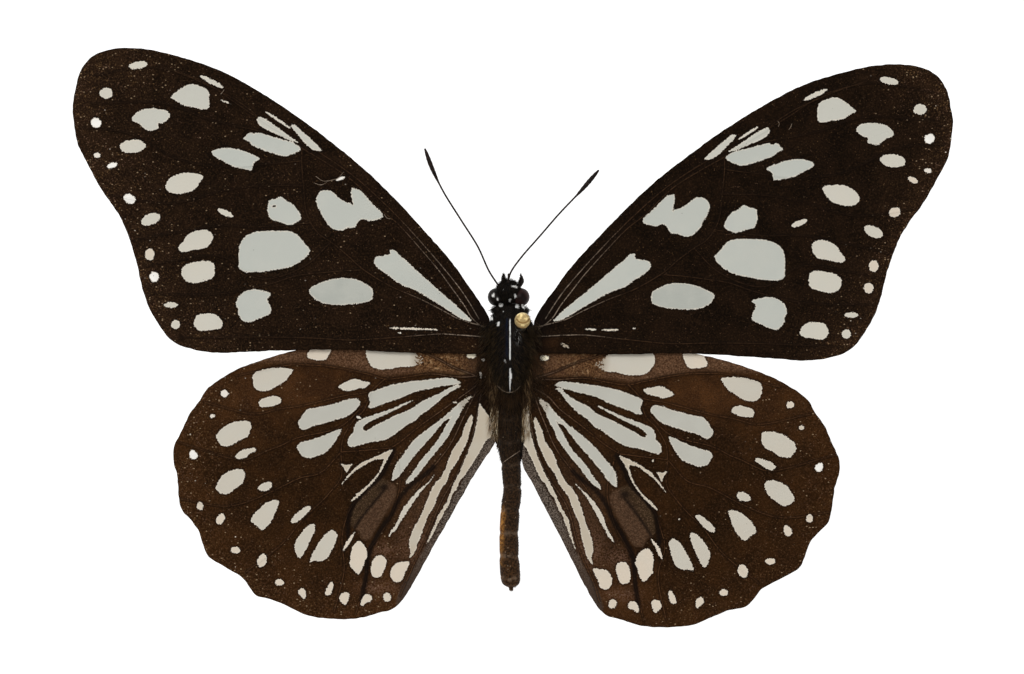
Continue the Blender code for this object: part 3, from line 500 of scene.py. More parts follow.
# The stage, in metres and linear colours, and the camera, in millimetres
SUBJECT = (0, 0, 0.025)
FLOOR_HALF_WIDTH = 2
FLOOR_COLOUR, FLOOR_GLOW = (0.3, 0.3, 0.3, 1.0), 0.95
SKY_COLOUR, SKY_STRENGTH = (1.0, 0.99, 0.97, 1.0), 0.42
SENSOR_WIDTH, FOCAL_LENGTH = 36, 200


def srgb(red, green, blue):
    """A colour's linear values with alpha, from its sRGB values."""
    shares = [value / 255 for value in (red, green, blue)]
    return (*[s / 12.92 if s <= 0.04045 else ((s + 0.055) / 1.055) ** 2.4 for s in shares], 1.0)


def metres(x, y, z):
    """A point given from the body centre in millimetres, z above the pin's point."""
    return Vector((BODY_X + x, BODY_Y + y, z)) * MM


# Plane geometry


def clamp(values):
    """The values, held between 0 and 1."""
    return np.clip(values, 0, 1)


def smooth_line(points, step, closed=False):
    """Points about one step apart on a centripetal Catmull-Rom curve through the given ones."""
    p = np.array(points, float)
    if closed:
        p = np.vstack([p[-1:], p, p[:2]])
    else:
        p = np.vstack([2 * p[0] - p[1], p, 2 * p[-1] - p[-2]])
    made = []
    for a, b, c, d in zip(p, p[1:], p[2:], p[3:]):
        paces = [sqrt(np.linalg.norm(v - u)) for u, v in ((a, b), (b, c), (c, d))]
        knots = np.cumsum([0.0] + paces)
        count = max(1, round(np.linalg.norm(c - b) / step))
        t = np.linspace(knots[1], knots[2], count, endpoint=False)[:, None]
        ab = a + (b - a) * (t - knots[0]) / (knots[1] - knots[0])
        bc = b + (c - b) * (t - knots[1]) / (knots[2] - knots[1])
        cd = c + (d - c) * (t - knots[2]) / (knots[3] - knots[2])
        abc = ab + (bc - ab) * (t - knots[0]) / (knots[2] - knots[0])
        bcd = bc + (cd - bc) * (t - knots[1]) / (knots[3] - knots[1])
        made.append(abc + (bcd - abc) * (t - knots[1]) / (knots[2] - knots[1]))
    if not closed:
        made.append(p[-2:-1])
    return np.vstack(made)


def oval(x, y, length, width, tilt):
    """The outline of an ellipse, its long axis turned by tilt degrees."""
    around = np.linspace(0, tau, 24, endpoint=False)
    u, v = length / 2 * np.cos(around), width / 2 * np.sin(around)
    c, s = cos(radians(tilt)), sin(radians(tilt))
    return np.column_stack([x + c * u - s * v, y + s * u + c * v])


def distance_to_line(points, line, closed=False):
    """The distance from each point to a line of points."""
    starts = line if closed else line[:-1]
    spans = (np.roll(line, -1, axis=0) - line)[: len(starts)]
    lengths = np.maximum((spans**2).sum(1), 1e-12)
    best = np.full(len(points), FAR)
    for start, span, length in zip(starts, spans, lengths):
        offset = points - start
        share = clamp((offset @ span) / length)
        best = np.minimum(best, np.hypot(*(offset - share[:, None] * span).T))
    return best


def inside(points, outline):
    """True for each point inside the closed outline, by counting crossings."""
    held = np.zeros(len(points), bool)
    for (x0, y0), (x1, y1) in zip(outline, np.roll(outline, -1, axis=0)):
        if y0 == y1:
            continue
        straddles = (y0 > points[:, 1]) != (y1 > points[:, 1])
        crossing = x0 + (x1 - x0) * (points[:, 1] - y0) / (y1 - y0)
        held ^= straddles & (points[:, 0] < crossing)
    return held


def depth_in(points, outline):
    """How deep each point lies inside a closed outline, and negative outside it."""
    depth = np.full(len(points), -FAR)
    low, high = outline.min(0) - REACH, outline.max(0) + REACH
    near = np.flatnonzero(((points > low) & (points < high)).all(1))
    if len(near):
        distance = distance_to_line(points[near], outline, closed=True)
        depth[near] = np.where(inside(points[near], outline), distance, -distance)
    return depth


def near_line(points, corners):
    """The distance from each point to a smooth line, where it is small."""
    line = smooth_line(corners, LINE_STEP)
    distance = np.full(len(points), FAR)
    low, high = line.min(0) - REACH, line.max(0) + REACH
    near = np.flatnonzero(((points > low) & (points < high)).all(1))
    if len(near):
        distance[near] = distance_to_line(points[near], line)
    return distance


def waves(points, length, seed):
    """A smooth random surface between -1 and 1, its hills about one length apart."""
    draw = np.random.default_rng(seed)
    total = np.zeros(len(points))
    for _ in range(7):
        heading = draw.uniform(0, tau)
        pace = tau / (length * draw.uniform(0.8, 1.5))
        total += np.sin(points @ [cos(heading), sin(heading)] * pace + draw.uniform(0, tau))
    return total / 4


# Materials


class Shader:
    """A material's nodes, with short calls for those that the surfaces here need."""

    def __init__(self, name, roughness, specular):
        self.material = bpy.data.materials.new(name)
        self.material.use_nodes = True
        self.nodes = self.material.node_tree.nodes
        self.links = self.material.node_tree.links
        self.surface = self.nodes["Principled BSDF"]
        self.surface.inputs["Roughness"].default_value = roughness
        self.surface.inputs["Specular IOR Level"].default_value = specular
        place = self.nodes.new("ShaderNodeTexCoord")
        grow = self.nodes.new("ShaderNodeVectorMath")
        grow.operation = "SCALE"
        grow.inputs["Scale"].default_value = 1 / MM
        self.links.new(place.outputs["Object"], grow.inputs[0])
        self.place = grow.outputs[0]

    def feed(self, socket, value):
        """Links a node's output or sets a number, or an sRGB colour where the value is a tuple."""
        if isinstance(value, bpy.types.NodeSocket):
            self.links.new(value, socket)
        elif isinstance(value, tuple):
            socket.default_value = srgb(*value)
        else:
            socket.default_value = value

    def math(self, operation, first, second):
        node = self.nodes.new("ShaderNodeMath")
        node.operation = operation
        self.feed(node.inputs[0], first)
        self.feed(node.inputs[1], second)
        return node.outputs[0]

    def times(self, first, second):
        return self.math("MULTIPLY", first, second)

    def plus(self, first, second):
        return self.math("ADD", first, second)

    def attribute(self, name):
        node = self.nodes.new("ShaderNodeAttribute")
        node.attribute_name = name
        return node.outputs["Fac"]

    def noise(self, per_mm, detail):
        node = self.nodes.new("ShaderNodeTexNoise")
        self.feed(node.inputs["Vector"], self.place)
        node.inputs["Scale"].default_value = per_mm
        node.inputs["Detail"].default_value = detail
        return node.outputs["Fac"]

    def cells(self, per_mm, stretch=1.0):
        """The distance to the nearest of many scattered points, in cells, and a random value."""
        node = self.nodes.new("ShaderNodeTexVoronoi")
        squeeze = self.nodes.new("ShaderNodeVectorMath")
        squeeze.operation = "MULTIPLY"
        squeeze.inputs[1].default_value = (1 / stretch, 1, 1)
        self.links.new(self.place, squeeze.inputs[0])
        self.links.new(squeeze.outputs[0], node.inputs["Vector"])
        node.inputs["Scale"].default_value = per_mm
        split = self.nodes.new("ShaderNodeSeparateColor")
        self.links.new(node.outputs["Color"], split.inputs[0])
        return node.outputs["Distance"], split.outputs[0]

    def step(self, value, low, high, start=0.0, end=1.0):
        node = self.nodes.new("ShaderNodeMapRange")
        node.interpolation_type = "SMOOTHSTEP"
        for socket, given in zip(node.inputs, (value, low, high, start, end)):
            self.feed(socket, given)
        return node.outputs[0]

    def blots(self, per_mm, detail, low, high, start=0.0, end=1.0):
        """Noise with soft-edged blots: 0 or start where it is low, 1 or end where it is high."""
        return self.step(self.noise(per_mm, detail), low, high, start, end)

    def swing(self, per_mm, detail, amount):
        """Noise about zero, scaled by an amount."""
        return self.times(self.math("SUBTRACT", self.noise(per_mm, detail), 0.5), amount)

    def mix(self, share, first, second):
        node = self.nodes.new("ShaderNodeMix")
        node.data_type = "RGBA"
        for index, given in ((0, share), (6, first), (7, second)):
            self.feed(node.inputs[index], given)
        return node.outputs[2]

    def relief(self, height, depth):
        """Bumps the surface by a height between 0 and 1, worth depth millimetres."""
        node = self.nodes.new("ShaderNodeBump")
        node.inputs["Distance"].default_value = depth * MM
        self.feed(node.inputs["Height"], height)
        self.links.new(node.outputs[0], self.surface.inputs["Normal"])

    def colour(self, value):
        self.feed(self.surface.inputs["Base Color"], value)


def specks(shader, per_mm, share, size=0.3, stretch=1.0):
    """A scatter of small dots, with a share of the cells holding one."""
    distance, chance = shader.cells(per_mm, stretch)
    round_dot = shader.step(distance, size, size * 0.5)
    over = shader.math("SUBTRACT", chance, shader.math("SUBTRACT", 1.0, share))
    chosen = shader.step(over, 0.0, 0.05)
    return shader.times(round_dot, chosen)


def wing_scales(name, dark, brown, worn, underside, grey, warm):
    """Matt scales: a mottled dark ground, worn to specks near the margin, and pale markings."""
    s = Shader(name, roughness=0.75, specular=0.03)

    # the ground, the leathery leading edge and its golden root
    wear = s.attribute("wear")
    mottle = s.blots(0.4, 4.0, 0.34, 0.68)
    brownness = s.plus(s.times(mottle, 0.5), s.times(wear, 0.45))
    ground = s.mix(brownness, dark, brown)
    ground = s.mix(s.attribute("warm"), ground, s.mix(mottle, (54, 32, 15), (76, 47, 23)))
    tan = s.mix(s.blots(6.0, 4.0, 0.36, 0.66), (72, 49, 33), (112, 82, 60))
    ground = s.mix(s.attribute("costal"), ground, tan)
    golden = s.mix(s.blots(5.5, 6.0, 0.38, 0.68), (62, 37, 20), (138, 101, 66))
    glint = s.blots(2.6, 6.0, 0.56, 0.7)
    golden = s.mix(s.times(glint, 0.65), golden, (190, 154, 112))
    ground = s.mix(s.attribute("golden"), ground, golden)
    grain = s.blots(5.5, 4.0, 0.4, 0.7)
    share = s.plus(0.2, s.times(wear, 0.5))
    ground = s.mix(s.times(grain, share), ground, worn)
    fine = s.blots(9.0, 3.0, 0.44, 0.58)
    ground = s.mix(s.times(fine, 0.42), ground, tuple(value * 0.5 for value in dark))

    # worn, gilded and rubbed scales
    patchy = s.times(wear, s.blots(0.35, 4.0, 0.3, 0.6, 0.35, 1.0))
    gilded = s.plus(s.noise(6.5, 3.0), s.times(patchy, 0.09))
    gold = s.mix(s.blots(1.1, 3.0, 0.42, 0.6), (104, 78, 50), (98, 73, 57))
    ground = s.mix(s.times(s.step(gilded, 0.66, 0.74), 0.75), ground, gold)
    bright = specks(s, 4.8, s.plus(0.005, s.times(patchy, 0.22)), 0.34, stretch=1.5)
    ground = s.mix(s.times(bright, 0.8), ground, (152, 128, 100))
    fleck = specks(s, 2.8, s.plus(0.004, s.times(patchy, 0.09)), 0.2, stretch=1.4)
    ground = s.mix(fleck, ground, (212, 198, 180))
    scuffed = s.times(s.attribute("rub"), s.blots(6.0, 5.0, 0.42, 0.6))
    ground = s.mix(scuffed, ground, (106, 78, 62))

    # the hairy inner strip and the scent pouch
    hairy = s.mix(s.blots(8.5, 4.0, 0.4, 0.62), (38, 30, 25), (118, 106, 95))
    ground = s.mix(s.attribute("soft"), ground, hairy)
    ground = s.mix(s.times(s.attribute("soft_low"), 0.85), ground, (64, 52, 44))
    pouch = s.mix(s.attribute("pouch_low"), (56, 42, 27), (78, 56, 40))
    pouch = s.mix(s.times(s.blots(4.0, 6.0, 0.36, 0.62), 0.6), pouch, (42, 28, 18))
    pouch = s.mix(s.times(s.blots(9.0, 4.0, 0.5, 0.66), 0.45), pouch, (118, 92, 70))
    ground = s.mix(s.attribute("pouch"), ground, pouch)

    # the veins, dark beside a pale and broken rib, the shaded parts and the underside
    vein = s.attribute("vein")
    halo = s.plus(0.5, s.times(s.attribute("costal"), 0.3))
    ground = s.mix(s.times(s.step(vein, 0.26, 0.07), halo), ground, (17, 10, 6))
    rib = s.mix(s.attribute("root"), worn, (160, 142, 124))
    broken = s.blots(0.9, 2.0, 0.3, 0.55, 0.5, 1.0)
    broken = s.times(broken, s.blots(5.0, 3.0, 0.36, 0.58, 0.3, 1.0))
    ribbed = s.times(s.step(vein, 0.07, 0.015), broken)
    ground = s.mix(s.times(ribbed, s.attribute("rib")), ground, rib)
    ground = s.mix(s.attribute("shade"), ground, (17, 11, 8))
    ground = s.mix(s.times(s.attribute("under"), 0.55), ground, underside)

    # the pale markings, with ragged edges, torn where they fade
    ragged = s.swing(3.4, 4.0, 0.24)
    jagged = s.swing(8.0, 1.0, 0.22)
    depth = s.plus(s.attribute("spot"), s.plus(ragged, jagged))
    fade = s.attribute("fade")
    uneven = s.swing(4.5, 5.0, 1.8)
    torn = s.times(s.step(s.plus(fade, uneven), 0.6, 0.8), s.step(fade, 0.02, 0.2))
    depth = s.math("SUBTRACT", depth, s.times(torn, 0.9))
    tone = s.attribute("tone")
    pale = s.mix(s.step(tone, DULL, GREY), (174, 176, 168), grey)
    pale = s.mix(s.step(tone, GREY, WARM), pale, warm)
    pale = s.mix(s.step(tone, WARM, WHITE), pale, (245, 242, 236))
    pale = s.mix(s.step(tone, WHITE, CREAM), pale, (214, 201, 183))
    pale = s.mix(s.step(tone, CREAM, TAN), pale, (190, 178, 159))
    pale = s.mix(s.step(tone, TAN, STRAW), pale, (255, 246, 218))
    pale = s.mix(s.times(s.blots(0.5, 3.0, 0.4, 0.7), 0.25), pale, (198, 197, 187))
    pale = s.mix(s.times(s.step(depth, 0.13, 0.03), 0.6), pale, (226, 215, 198))
    pits = specks(s, 1.4, 0.16, size=0.08)
    pale = s.mix(s.times(pits, 0.7), pale, (80, 72, 62))
    pale = s.mix(s.times(fade, 0.75), pale, (126, 102, 74))
    ground = s.mix(s.times(s.step(depth, -0.3, -0.04), 0.4), ground, (14, 8, 5))
    s.colour(s.mix(s.step(depth, -0.02, 0.03), ground, pale))

    # the relief of the scales and the veins
    rows = s.noise(14.0, 2.0)
    ridge = s.step(vein, 0.14, 0.0)
    s.relief(s.plus(s.times(rows, 0.5), s.times(ridge, 0.8)), 0.035)
    return s.material


def coat(name, dark, light, per_mm=2.5, roughness=0.7, depth=0.02):
    """A dark finish mottled with a lighter tone, and white where the piece says so."""
    s = Shader(name, roughness, specular=0.08)
    mottle = s.blots(per_mm, 4.0, 0.35, 0.7)
    ground = s.mix(mottle, dark, light)
    ground = s.mix(s.attribute("blue"), ground, (12, 22, 44))
    s.colour(s.mix(s.step(s.attribute("white"), 0.4, 0.85), ground, (222, 222, 220)))
    s.relief(s.noise(per_mm * 3, 3.0), depth)
    return s.material


def hair_coat(name, dark, light):
    """Hair whose tone runs from hair to hair, with white ones among them."""
    s = Shader(name, roughness=0.6, specular=0.08)
    ground = s.mix(s.attribute("tone"), dark, light)
    ground = s.mix(s.attribute("blue"), ground, (13, 25, 50))
    s.colour(s.mix(s.attribute("white"), ground, (232, 230, 226)))
    return s.material


def metal(name, colour, darker, roughness, per_mm, depth):
    """A metal with darker tarnish mottling, and darker still where the piece gives it painted shade
    and a painted reflection.
    """
    s = Shader(name, roughness, specular=0.5)
    s.surface.inputs["Metallic"].default_value = 1.0
    tarnish = s.blots(per_mm, 4.0, 0.4, 0.6)
    # the darkening that the piece gives is painted shade and a painted reflection, joined here to
    # the tarnish mottling
    tarnish = s.math("MAXIMUM", s.times(tarnish, 0.6), s.attribute("tarnish"))
    s.colour(s.mix(tarnish, colour, darker))
    s.relief(s.noise(per_mm * 4, 3.0), depth)
    return s.material


# Meshes


def finish_piece(piece, material, slot, *nodes):
    """The piece with its material, and the solids that it stands for; the slot is not used."""
    piece.data.materials.append(material)
    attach(piece, "root")
    if nodes:
        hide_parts(*nodes)
    return piece


def mesh_piece(name, corners, faces, values=None, smooth=True):
    """A piece from corners in metres and faces, with named numbers kept on its corners."""
    data = bpy.data.meshes.new(name)
    data.from_pydata(np.asarray(corners).tolist(), [], faces)
    for label, numbers in (values or {}).items():
        layer = data.attributes.new(label, "FLOAT", "POINT")
        layer.data.foreach_set("value", np.asarray(numbers, np.float32))
    if smooth:
        data.shade_smooth()
    piece = bpy.data.objects.new(name, data)
    bpy.context.scene.collection.objects.link(piece)
    return piece


def upper_outline(node, side):
    """The edge of a wing solid's upper face, outward and forward, and its height's curve."""
    solid = bmesh.new()
    solid.from_mesh(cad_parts[node].data)
    bmesh.ops.remove_doubles(solid, verts=solid.verts, dist=MM * 0.001)
    solid.normal_update()
    following = {}
    for face in solid.faces:
        if face.normal.z < 0.5:
            continue
        for loop in face.loops:
            if any(other.normal.z < 0.5 for other in loop.edge.link_faces):
                following[loop.vert.index] = loop.link_loop_next.vert.index
    solid.verts.ensure_lookup_table()
    chain = [next(iter(following))]
    while following[chain[-1]] != chain[0]:
        chain.append(following[chain[-1]])
    places = np.array([solid.verts[index].co for index in chain]) / MM
    heights = np.array([corner.co for corner in solid.verts]) / MM
    solid.free()
    curve = np.polyfit(side * (heights[:, 0] - BODY_X), heights[:, 2], 2)
    return np.column_stack([side * (places[:, 0] - BODY_X), places[:, 1] - BODY_Y]), curve


def sheet_points(outline, step):
    """A triangular grid inside the outline."""
    low, high = outline.min(axis=0), outline.max(axis=0)
    rows = []
    for count, y in enumerate(np.arange(low[1], high[1], step * sqrt(3) / 2)):
        across = np.arange(low[0] + (count % 2) * step / 2, high[0], step)
        rows.append(np.column_stack([across, np.full(len(across), y)]))
    grid = np.vstack(rows)
    return grid[inside(grid, outline)]


def directions(line, closed):
    """The way that a line runs at each of its points."""
    if closed:
        ahead = np.roll(line, -1, axis=0) - np.roll(line, 1, axis=0)
    else:
        ahead = np.gradient(line, axis=0)
    return ahead / np.maximum(np.linalg.norm(ahead, axis=1)[:, None], 1e-9)


def along_line(line, offsets, closed):
    """Points beside a line: on its left where an offset is positive."""
    ahead = directions(line, closed)
    left = np.column_stack([-ahead[:, 1], ahead[:, 0]])
    return np.vstack([line + left * offset for offset in offsets])


def guide_points(outlines, veins, rim, place):
    """Corners along the edges of markings and veins and close beside them, inside the rim."""
    rows = []
    for outline in outlines:
        turn = np.sign(np.cross(outline, np.roll(outline, -1, axis=0)).sum())
        rows.append(along_line(outline, [turn * offset for offset in EDGE_GUIDES], True))
    for line in veins:
        rows.append(along_line(smooth_line(line, VEIN_STEP), VEIN_GUIDES, False))
    points = placed(np.vstack(rows), place)
    _, first = np.unique(np.round(points / GUIDE_GAP), axis=0, return_index=True)
    points = points[np.sort(first)]
    return points[depth_in(points, rim) > CORNER_GAP]


def apart(points, others, distance):
    """The points that lie further than a distance from all the others."""
    tree = KDTree(len(others))
    for index, (x, y) in enumerate(others):
        tree.insert((x, y, 0), index)
    tree.balance()
    return points[[tree.find((x, y, 0))[2] > distance for x, y in points]]


def stray(points, place):
    """How far the wing's markings lie off the mirrored places."""
    total = np.zeros_like(points)
    for centre, shift, reach in place["strays"]:
        total += np.outer(np.exp(-((points - centre) ** 2).sum(1) / reach**2), shift)
    return total


def placed(points, place):
    """Left-wing measures as the wing in question has them."""
    points = np.asarray(points, float)
    if place is None:
        return points
    axes = np.array([place["outward"], place["forward"]]).T
    return (points + stray(points, place)) @ axes + place["shift"]


def unplaced(points, place):
    """The left-wing measures of places on the wing in question."""
    if place is None:
        return points
    axes = np.array([place["outward"], place["forward"]]).T
    mirrored = (points - place["shift"]) @ np.linalg.inv(axes)
    home = mirrored
    for _ in range(8):
        home = mirrored - stray(home, place)
    return home


def marking_outlines(ovals, patches):
    """Each marking's tone and its outline."""
    shapes = [(tone, oval(*measures)) for *measures, tone in ovals] + patches
    return [(tone, smooth_line(corners, MARKING_STEP, closed=True)) for tone, corners in shapes]


def marking_fields(points, shapes):
    """How deep each point lies in the nearest marking, and that marking's tone."""
    depth, tone = np.full(len(points), -FAR), np.zeros(len(points))
    for shade, outline in shapes:
        here = depth_in(points, outline)
        tone = np.where(here > depth, shade, tone)
        depth = np.maximum(depth, here)
    return np.clip(depth, -REACH, REACH), tone


def hill(x, y, centre, reach):
    """1 at the centre, and falling off smoothly over the reach."""
    return np.exp(-(((x - centre[0]) / reach[0]) ** 2 + ((y - centre[1]) / reach[1]) ** 2))


def hindwing_zones(points, inner_strip):
    """The hairy inner strip, the leathery leading edge, the scent pouch and the dark bands."""
    x, y = points.T
    strip = clamp(depth_in(points, inner_strip) / 0.2 + 0.4)
    front = np.interp(x, [0, 8, 12.5, 16, 20, 27], [-3.0, -2.3, -2.8, -2.0, -1.4, -1.5])
    costal = clamp((y - front) / 0.5)
    golden = costal * clamp((10.4 - x) / 1.8)
    golden *= np.interp(x, [3.0, 4.2, 6.5], [0.2, 0.65, 1.0])
    costal = np.maximum(costal, 0.5 * hill(x, y, (8.4, -16.5), (3.0, 6.0)))
    warm = hill(x, y, (20.5, -3.6), (6.0, 2.6)) + 0.8 * hill(x, y, (12.5, -24.0), (3.4, 2.4))
    warm += 0.35 * hill(x, y, (27.0, -6.0), (4.0, 4.0))
    pouch = clamp(depth_in(points, smooth_line(POUCH, 0.3, closed=True)) / 0.09)
    low = clamp(0.5 + ((x - 13.9) * -0.78 - (y + 15.6) * 0.62) / 0.6)
    slit = near_line(points, POUCH_SLIT)
    bands = np.minimum(*[near_line(points, band) for band in POUCH_BANDS])
    root = clamp((4.0 - np.hypot(x - 0.8, (y + 3.4) * 0.8)) / 1.4)
    joint = 0.45 * costal * clamp((5.4 - x) / 1.6)
    shade = np.maximum.reduce([
        1.8 - slit / 0.09, hill(x, y, (12.6, -13.75), (0.45, 0.35)), (0.3 - bands) / 0.12,
        0.7 * root, joint,
    ])
    shade = np.clip(shade, 0, 0.84)
    lift = 0.16 * pouch - 0.05 * np.exp(-((slit / 0.15) ** 2))
    from_root = np.hypot(x - 0.6, y + 4.4)
    fade = np.maximum.reduce([
        np.clip((4.8 - from_root) / 0.9, 0, 0.5) * (x > 3.55) * (y > -6.3) * (y < -2.9),
        np.clip((2.5 - x) / 1.0, 0, 0.42) * (y < -5.0),
        np.clip((10.1 - x) / 1.3, 0, 0.7) * (y > -2.2) * (x > 6),
        0.1 * hill(x, y, (3.85, -0.55), (1.3, 0.9)) * (x > 3.2),
    ])
    return dict(
        soft=strip * np.interp(y, [-25.0, -22.0, -17.0], [0.2, 0.5, 0.9]),
        soft_low=strip * np.interp(y, [-24.0, -17.5], [0.9, 0.0]), costal=costal, pouch=pouch,
        pouch_low=low, shade=shade, warm=clamp(warm), fade=fade, golden=golden,
        root=0.25 * clamp((9 - x) / 6), rib=np.interp(x, [0, 20, 34], [1.0, 0.8, 0.45]),
        rub=0.8 * hill(x, y, (9.6, -19.4), (1.3, 1.8)) + 0.7 * hill(x, y, (12.6, -20.2), (1.2, 0.9))
        + 0.7 * hill(x, y, (13.0, -23.8), (1.7, 0.6)),
    ), lift


def forewing_zones(points):
    """The same zones on a forewing, most of them empty."""
    x, y = points.T
    none = np.zeros(len(points))
    root = np.clip((3.9 - x + 0.15 * y) / 1.8, 0, 0.8)
    silver = clamp((11.0 - x) / 8.0)
    olive = 0.3 * hill(x, y, (3.4, 0.7), (1.6, 0.6))
    rib = np.interp(np.hypot(x, y), [0, 16, 25, 32], [1.0, 0.9, 0.4, 0.1])
    rib += 0.45 * clamp((y - 0.8 * x) / 1.5)
    return dict(
        soft=none, soft_low=none, costal=none, golden=none, pouch=none, pouch_low=none, shade=root,
        warm=olive, fade=none, root=silver, rub=none, rib=clamp(rib),
    ), none


def wing(name, kind, side, place, material, seed):
    """A thin closed sheet over the solid's outline, with raised veins and the scales' fields."""
    strip = smooth_line(INNER_STRIP if side < 0 else RIGHT_INNER_STRIP, 0.5, closed=True)
    if kind == "forewing":
        ovals = FOREWING_OVALS + (LEFT_FOREWING_OVALS if side < 0 else RIGHT_FOREWING_OVALS)
        patches, veins, worn_edge = FOREWING_PATCHES, FOREWING_VEINS, FOREWING_MARGIN
    else:
        ovals = HINDWING_OVALS + (LEFT_HINDWING_OVALS if side < 0 else RIGHT_HINDWING_OVALS)
        patches, veins, worn_edge = HINDWING_PATCHES, HINDWING_VEINS, HINDWING_MARGIN

    # the outline, made a little rough
    rim, curve = upper_outline(name, side)
    rim = smooth_line(rim, WING_STEP, closed=True)
    along = directions(rim, closed=True)
    turn = 1 if np.cross(rim, np.roll(rim, -1, axis=0)).sum() > 0 else -1
    normal = turn * np.column_stack([along[:, 1], -along[:, 0]])
    draw = np.random.default_rng(seed)
    rough = np.convolve(np.tile(draw.normal(size=len(rim)), 3), [0.3, 0.5, 0.3], "same")
    rim = rim + normal * (MARGIN_ROUGHNESS * rough[len(rim) : 2 * len(rim)])[:, None]

    # corners along the markings and veins and over the rest, and triangles between them
    shapes = marking_outlines(ovals, patches)
    holes = [smooth_line(oval(*hole), 0.1, closed=True) for hole in FOREWING_HOLES]
    lines = veins + [POUCH_SLIT] if kind == "hindwing" else veins
    guides = guide_points([outline for _, outline in shapes] + holes, lines, rim, place)
    grid = apart(sheet_points(rim, WING_STEP), np.vstack([rim, guides]), CORNER_GAP)
    points = np.vstack([rim, guides, grid])
    flat = [Vector((side * x, y)) for x, y in points]
    corners, _, faces, *_ = delaunay_2d_cdt(flat, [], [list(range(len(rim)))], 1, 1e-6)
    at = np.array([(side * x, y) for x, y in corners])
    home = unplaced(at, place)

    # the fields that the scales are coloured by, and the height
    spot, tone = marking_fields(home, shapes)
    for hole in FOREWING_HOLES if kind == "forewing" and side < 0 else ():
        spot = np.minimum(spot, -depth_in(home, oval(*hole)))
    vein = np.minimum.reduce([near_line(home, line) for line in veins])
    margin = distance_to_line(home, np.array(worn_edge))
    if kind == "forewing":
        fields, lift = forewing_zones(home)
        if side > 0:
            fields["fade"] = 0.55 * hill(*home.T, (5.15, 0.45), (1.2, 0.6))
    else:
        fields, lift = hindwing_zones(home, strip)
        if side > 0:
            fields["golden"] *= np.interp(home[:, 0], [3.0, 6.0, 8.0, 9.5], [0.3, 0.5, 0.8, 1.0])
        spot = np.minimum(spot, -depth_in(home, strip))
    height = np.polyval(curve, at[:, 0]) + SHEET_WAVE * waves(home, 9.0, SHEET_SEED) + lift
    height += VEIN_RIDGE * np.exp(-((vein / 0.16) ** 2)) - 0.06 * (1 - np.exp(-vein / 0.9))
    fields |= dict(spot=spot, tone=tone, vein=vein)
    worn, inward = WEAR[name]
    fields["wear"] = clamp(worn * np.exp(-margin / inward) + 0.04 + 0.4 * fields["rub"])

    # the upper and lower face, and the wall between them
    count = len(at)
    places = [
        metres(side * x, y, z + rise)
        for rise in (WING_THICKNESS / 2, -WING_THICKNESS / 2)
        for (x, y), z in zip(at, height)
    ]
    edges = {}
    for face in faces:
        for a, b in zip(face, (*face[1:], face[0])):
            edges[a, b] = True
    rims = [(a, b) for a, b in edges if (b, a) not in edges]
    walls = [(b, a, a + count, b + count) for a, b in rims]
    over = [tuple(face) for face in faces]
    under = [tuple(index + count for index in reversed(face)) for face in faces]
    values = {label: np.tile(numbers, 2) for label, numbers in fields.items()}
    values["under"] = np.repeat([0.0, 1.0], count)
    piece = mesh_piece(name + "_scales", places, over + under + walls, values)
    return finish_piece(piece, material, kind + "_scales", name)


def make_wings():
    fore = wing_scales(
        "forewing_scales", dark=(13, 7, 3), brown=(38, 24, 13), worn=(66, 46, 30),
        underside=(96, 66, 44), grey=(187, 189, 181), warm=(204, 199, 186),
    )
    hind = wing_scales(
        "hindwing_scales", dark=(26, 14, 4), brown=(58, 34, 12), worn=(84, 56, 34),
        underside=(112, 78, 52), grey=(185, 183, 173), warm=(199, 192, 178),
    )
    wing("left_forewing", "forewing", -1, None, fore, 1)
    wing("right_forewing", "forewing", 1, RIGHT_FOREWING, fore, 2)
    wing("left_hindwing", "hindwing", -1, None, hind, 3)
    wing("right_hindwing", "hindwing", 1, RIGHT_HINDWING, hind, 4)


# Body


def loft(centres, across, up, sides=32):
    """A closed skin: a pole at each end, and between them a ring of corners at every centre."""
    around = np.linspace(0, tau, sides, endpoint=False)[None, :, None]
    rings = centres[1:-1, None] + across[1:-1, None] * np.cos(around)
    rings = rings + up[1:-1, None] * np.sin(around)
    corners = np.vstack([centres[:1], rings.reshape(-1, 3), centres[-1:]])
    rows, last = len(rings), len(corners) - 1

    def at(row, k):
        return 1 + row * sides + k % sides

    faces = [(0, at(0, k + 1), at(0, k)) for k in range(sides)]
    faces += [(last, at(rows - 1, k), at(rows - 1, k + 1)) for k in range(sides)]
    for row in range(rows - 1):
        faces += [
            (at(row, k), at(row, k + 1), at(row + 1, k + 1), at(row + 1, k)) for k in range(sides)
        ]
    return corners, faces


def ellipsoid(centre, radii, turn=0.0, rows=24, sides=40):
    share = np.linspace(0, pi, rows)
    centres = np.column_stack([np.zeros(rows), -radii[1] * np.cos(share), np.zeros(rows)])
    across = np.outer(np.sin(share), (radii[0], 0, 0))
    up = np.outer(np.sin(share), (0, 0, radii[2]))
    corners, faces = loft(centres, across, up, sides)
    c, s = cos(radians(turn)), sin(radians(turn))
    x, y, z = corners.T
    return np.column_stack([c * x - s * y, s * x + c * y, z]) + centre, faces


def shares(line):
    """How far along a line each of its points lies, from 0 to 1."""
    gone = np.concatenate([[0], np.cumsum(np.linalg.norm(np.diff(line, axis=0), axis=1))])
    return gone / gone[-1]


